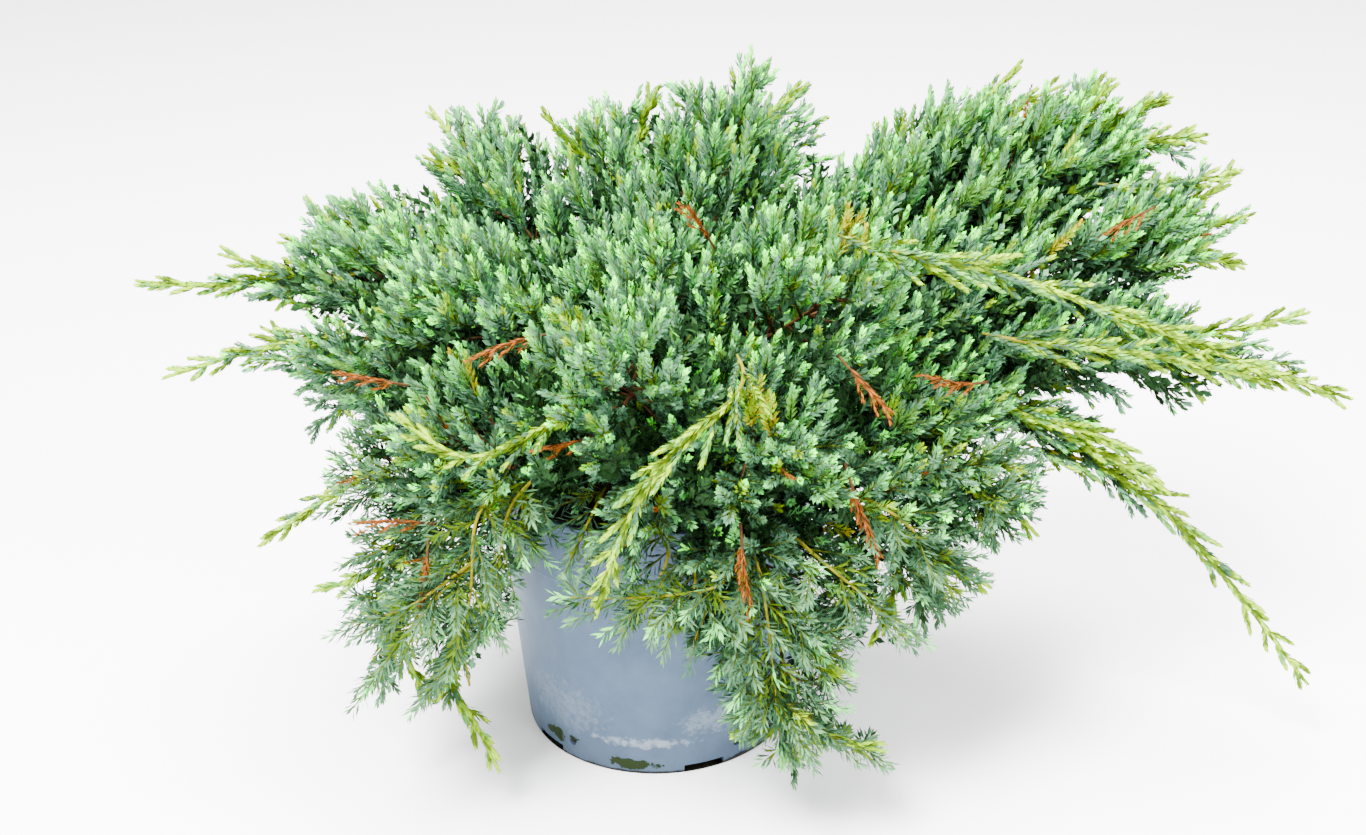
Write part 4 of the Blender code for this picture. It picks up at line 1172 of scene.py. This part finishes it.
def potMaterial(look):
    material, tree, shader = shaderOf("grey_blue_plastic", 0.45, 0.05)
    where = tree.nodes.new("ShaderNodeTexCoord").outputs["Object"]
    apart = tree.nodes.new("ShaderNodeSeparateXYZ")
    tree.links.new(where, apart.inputs["Vector"])
    height = apart.outputs["Z"]
    angle = sum_(tree, "ARCTAN2", apart.outputs["Y"], apart.outputs["X"])

    def noiseOf(scale, detail):
        made = node(tree, "ShaderNodeTexNoise", Scale=scale, Detail=detail, Roughness=0.66)
        tree.links.new(where, made.inputs["Vector"])
        return made.outputs["Fac"]

    def patch(place, edge, soft):
        # full inside an ellipse round the place, with an edge broken up by the noise
        heading, middle, wide, high, strength = place
        across = sum_(tree, "MULTIPLY", sum_(tree, "SUBTRACT", angle, math.radians(heading)), 1 / math.radians(wide))
        upward = sum_(tree, "MULTIPLY", sum_(tree, "SUBTRACT", height, middle * mm), 1 / (high * mm))
        far = sum_(tree, "ADD", sum_(tree, "MULTIPLY", across, across), sum_(tree, "MULTIPLY", upward, upward))
        broken = sum_(tree, "ADD", far, sum_(tree, "MULTIPLY", edge, 5.0))
        return sum_(tree, "MULTIPLY", mapped(tree, broken, 2.9 + soft, 2.9 - soft), strength)

    fine = noiseOf(30.0, 7.0)
    rough = noiseOf(120.0, 8.0)
    streaky = noiseOf(70.0, 9.0)
    flecks = noiseOf(300.0, 8.0)
    colour = ramp(tree, fine, [(0.3, look["darker"]), (0.7, look["lighter"])]).outputs["Color"]
    for place in bloomPatches:
        colour = mixIn(tree, colour, look["bloom"], patch(place, flecks, 0.55))
    for place in algaePatches:
        colour = mixIn(tree, colour, look["algae"], patch(place, streaky, 0.06))
    # painted shade mixed with grime, low on the foot and over the notches
    for place in shadeAndGrimePatches:
        colour = mixIn(tree, colour, look["shade_and_grime"], patch(place, rough, 0.1))
    # painted shade: a dark line round the foot where it meets the floor
    line = sum_(tree, "ADD", height, sum_(tree, "MULTIPLY", rough, 0.003))
    colour = mixIn(tree, colour, look["shade_and_grime"], mapped(tree, line, look["shadeAndGrimeFrom"] + 0.002, look["shadeAndGrimeFrom"] + 0.001))
    tree.links.new(colour, shader.inputs["Base Color"])
    bump = node(tree, "ShaderNodeBump", Strength=0.25, Distance=0.0004)
    tree.links.new(rough, bump.inputs["Height"])
    tree.links.new(bump.outputs["Normal"], shader.inputs["Normal"])
    return material


def potProfile(size):
    # closed loop of (radius, height): rolled lip, band, wall, foot and the inside
    top, foot, rim = size["height"], size["height"] - size["bandDepth"], size["rimRadius"]
    lower, proud, base = size["bandLowerRadius"], size["bandProud"], size["baseRadius"]
    chamfer, wall = size["baseChamfer"], size["wall"]
    inner = lambda share: base + (lower - proud - base) * share - wall
    return [
        (rim - wall, top - 0.5 * mm),
        (rim - wall + 0.5 * mm, top),
        (rim - 0.2 * mm, top),
        (rim + 0.4 * mm, top - 0.6 * mm),
        (rim + 0.4 * mm, top - 2.4 * mm),
        (rim - 0.1 * mm, top - 3.1 * mm),
        (lower, foot + 0.5 * mm),
        (lower - 0.4 * mm, foot),
        (lower - proud, foot - 0.2 * mm),
        (lower - proud - 0.1 * mm, foot - 2 * mm),
        (base, chamfer),
        (base - chamfer * 0.35, chamfer * 0.3),
        (base - chamfer, 0.0),
        (0.0, 0.0),
        (0.0, size["floor"]),
        (inner(0.0), size["floor"]),
        (inner(0.98), foot - proud),
        (lower - wall, foot),
    ]


def turnedPiece(name, profile, steps):
    angles = np.arange(steps) * 2 * math.pi / steps
    rings = [[(r * math.cos(a), r * math.sin(a), z) for a in angles] for r, z in profile if r > 0]
    axis = [(0.0, 0.0, z) for r, z in profile if r == 0]
    points = [point for ring in rings for point in ring] + axis
    count = len(rings)
    split = [index for index, (r, z) in enumerate(profile) if r == 0][0]
    faces = []
    for index in range(count):
        if index == split - 1:
            continue
        low, high = index * steps, ((index + 1) % count) * steps
        faces += [(low + i, high + i, high + (i + 1) % steps, low + (i + 1) % steps) for i in range(steps)]
    for ringIndex, centre, turn in ((split - 1, count * steps, 1), (split, count * steps + 1, -1)):
        for i in range(steps):
            pair = (ringIndex * steps + i, ringIndex * steps + (i + 1) % steps)
            faces.append((centre, *pair[::turn]))
    mesh = bpy.data.meshes.new(name)
    mesh.from_pydata(points, [], faces)
    obj = bpy.data.objects.new(name, mesh)
    scene.collection.objects.link(obj)
    return obj


def cutter(place, size, heading, round_):
    if round_:
        bpy.ops.mesh.primitive_cylinder_add(vertices=24, radius=size[0], depth=size[1])
    else:
        bpy.ops.mesh.primitive_cube_add(size=1.0)
    made = bpy.context.active_object
    made.location = place
    made.rotation_euler = (0.0, math.pi / 2 if round_ else 0.0, heading)
    if not round_:
        made.scale = size
    return made


def makePot(size):
    pot = turnedPiece("pot_shell", potProfile(size), size["steps"])
    depth, wide, high = size["notchSize"]
    out = 2 * mm
    cutters = []
    for number in range(size["notches"]):
        angle = math.radians(size["notchHeading"] + 360.0 / size["notches"] * number)
        middle = size["baseRadius"] + out - (depth + out) / 2
        place = (middle * math.cos(angle), middle * math.sin(angle), 0.0)
        cutters.append(cutter(place, (depth + out, wide, 2 * high), angle, False))
        angle = math.radians(size["holeHeading"] + 360.0 / size["notches"] * number)
        place = (size["baseRadius"] * math.cos(angle), size["baseRadius"] * math.sin(angle), size["holeHeight"])
        cutters.append(cutter(place, (size["holeRadius"], size["wall"] * 8), angle, True))
    for one in cutters:
        cut = pot.modifiers.new(one.name, "BOOLEAN")
        cut.operation = "DIFFERENCE"
        cut.object = one
    graph = bpy.context.evaluated_depsgraph_get()
    joined = bpy.data.meshes.new_from_object(pot.evaluated_get(graph))
    pot.modifiers.clear()
    pot.data = joined
    for one in cutters:
        bpy.data.objects.remove(one, do_unlink=True)
    joined.shade_smooth()
    joined.set_sharp_from_angle(angle=math.radians(32))
    joined.materials.clear()
    joined.materials.append(potMaterial(potLook))
    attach(pot, "root")
    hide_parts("pot")


def makeShadeFilm(size):
    # painted shade: a near-black film under the pot, seen in the notches and as a line round the foot
    angles = np.arange(size["steps"]) * 2 * math.pi / size["steps"]
    shadeFilm = bpy.data.meshes.new("pot_painted_shade")
    reach = size["baseRadius"] - size["shadeFilmInset"]
    ring = [(reach * math.cos(a), reach * math.sin(a), size["shadeFilmHeight"]) for a in angles]
    shadeFilm.from_pydata(ring, [], [tuple(range(len(ring)))])
    piece = bpy.data.objects.new("pot_painted_shade", shadeFilm)
    scene.collection.objects.link(piece)
    # painted shade: the film's near-black colour
    shadeFilm.materials.append(speckledMaterial("painted_shade_film", (0.002, 0.002, 0.001), (0.014, 0.012, 0.008), 300.0, 0.9))
    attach(piece, "root")


makePot(potSet)
makeShadeFilm(potSet)


# soil: the node itself, with crumbs strewn on it
def dress(name, material):
    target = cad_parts[name]
    for slotOfNode in target.material_slots:
        slotOfNode.material = material


def makeCrumbs(settings, material):
    # small uneven six-cornered lumps
    corners = np.array([(1, 0, 0), (0, 1, 0), (-1, 0, 0), (0, -1, 0), (0, 0, 1), (0, 0, -1)], float)
    sides = np.array([(0, 1, 4), (1, 2, 4), (2, 3, 4), (3, 0, 4), (1, 0, 5), (2, 1, 5), (3, 2, 5), (0, 3, 5)])
    count = settings["crumbs"]
    reach = (potSet["rimRadius"] - 4.5 * mm) * np.sqrt(dice.uniform(0.03, 1.0, count))
    angle = dice.uniform(0, 2 * math.pi, count)
    fall = np.clip((reach - settings["flat"]) / (potSet["rimRadius"] - settings["flat"]), 0, 1) * settings["dish"]
    height = settings["top"] * mm - fall
    centre = np.stack([reach * np.cos(angle), reach * np.sin(angle), height], axis=1)
    size = settings["largest"] * dice.uniform(0.25, 1.0, (count, 1, 1)) ** 1.5
    points = centre[:, None] + corners * size * dice.uniform(0.6, 1.2, (count, 6, 3)) * (1, 1, 0.7)
    faces = sides[None] + np.arange(count)[:, None, None] * 6
    piece = meshFromArrays("soil_crumbs", points.reshape(-1, 3), faces.reshape(-1, 3))
    piece.data.materials.append(material)
    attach(piece, "root")


soilMaterial = speckledMaterial("potting_soil", (0.012, 0.008, 0.005), (0.10, 0.065, 0.04), 240.0, 0.95, 2 * mm)
dress("soil", soilMaterial)
makeCrumbs(soilSet, soilMaterial)
print("pot and soil finished")


# floor, backdrop and lights
def stagePiece(name, points, faces, material):
    mesh = bpy.data.meshes.new(name)
    mesh.from_pydata(points, [], faces)
    obj = bpy.data.objects.new(name, mesh)
    scene.collection.objects.link(obj)
    obj.data.materials.append(material)


pale, _, paleShader = shaderOf("pale_floor", 0.9)
paleShader.inputs["Base Color"].default_value = (0.92, 0.92, 0.92, 1.0)
wide = 4.0
stagePiece("floor", [(-wide, -wide, 0), (wide, -wide, 0), (wide, wide, 0), (-wide, wide, 0)], [(0, 1, 2, 3)], pale)

world = bpy.data.worlds.new("studio")
scene.world = world
world.use_nodes = True
world.node_tree.nodes["Background"].inputs["Color"].default_value = (1.0, 1.0, 1.0, 1.0)
world.node_tree.nodes["Background"].inputs["Strength"].default_value = 1.75
lightSet = {
    "key": ((-0.6, -1.0, 2.0), 400.0, 0.8),
    "fill": ((1.2, -1.0, 1.2), 65.0, 1.2),
    "top": ((0.2, 0.3, 2.0), 190.0, 1.0),
}
for name, (place, power, size) in lightSet.items():
    light = bpy.data.lights.new(name, "AREA")
    light.energy = power
    light.size = size
    lamp = bpy.data.objects.new(name, light)
    lamp.location = place
    lamp.rotation_euler = Vector(heart - np.array(place)).to_track_quat("-Z", "Y").to_euler()
    scene.collection.objects.link(lamp)
print("stage and lights set")
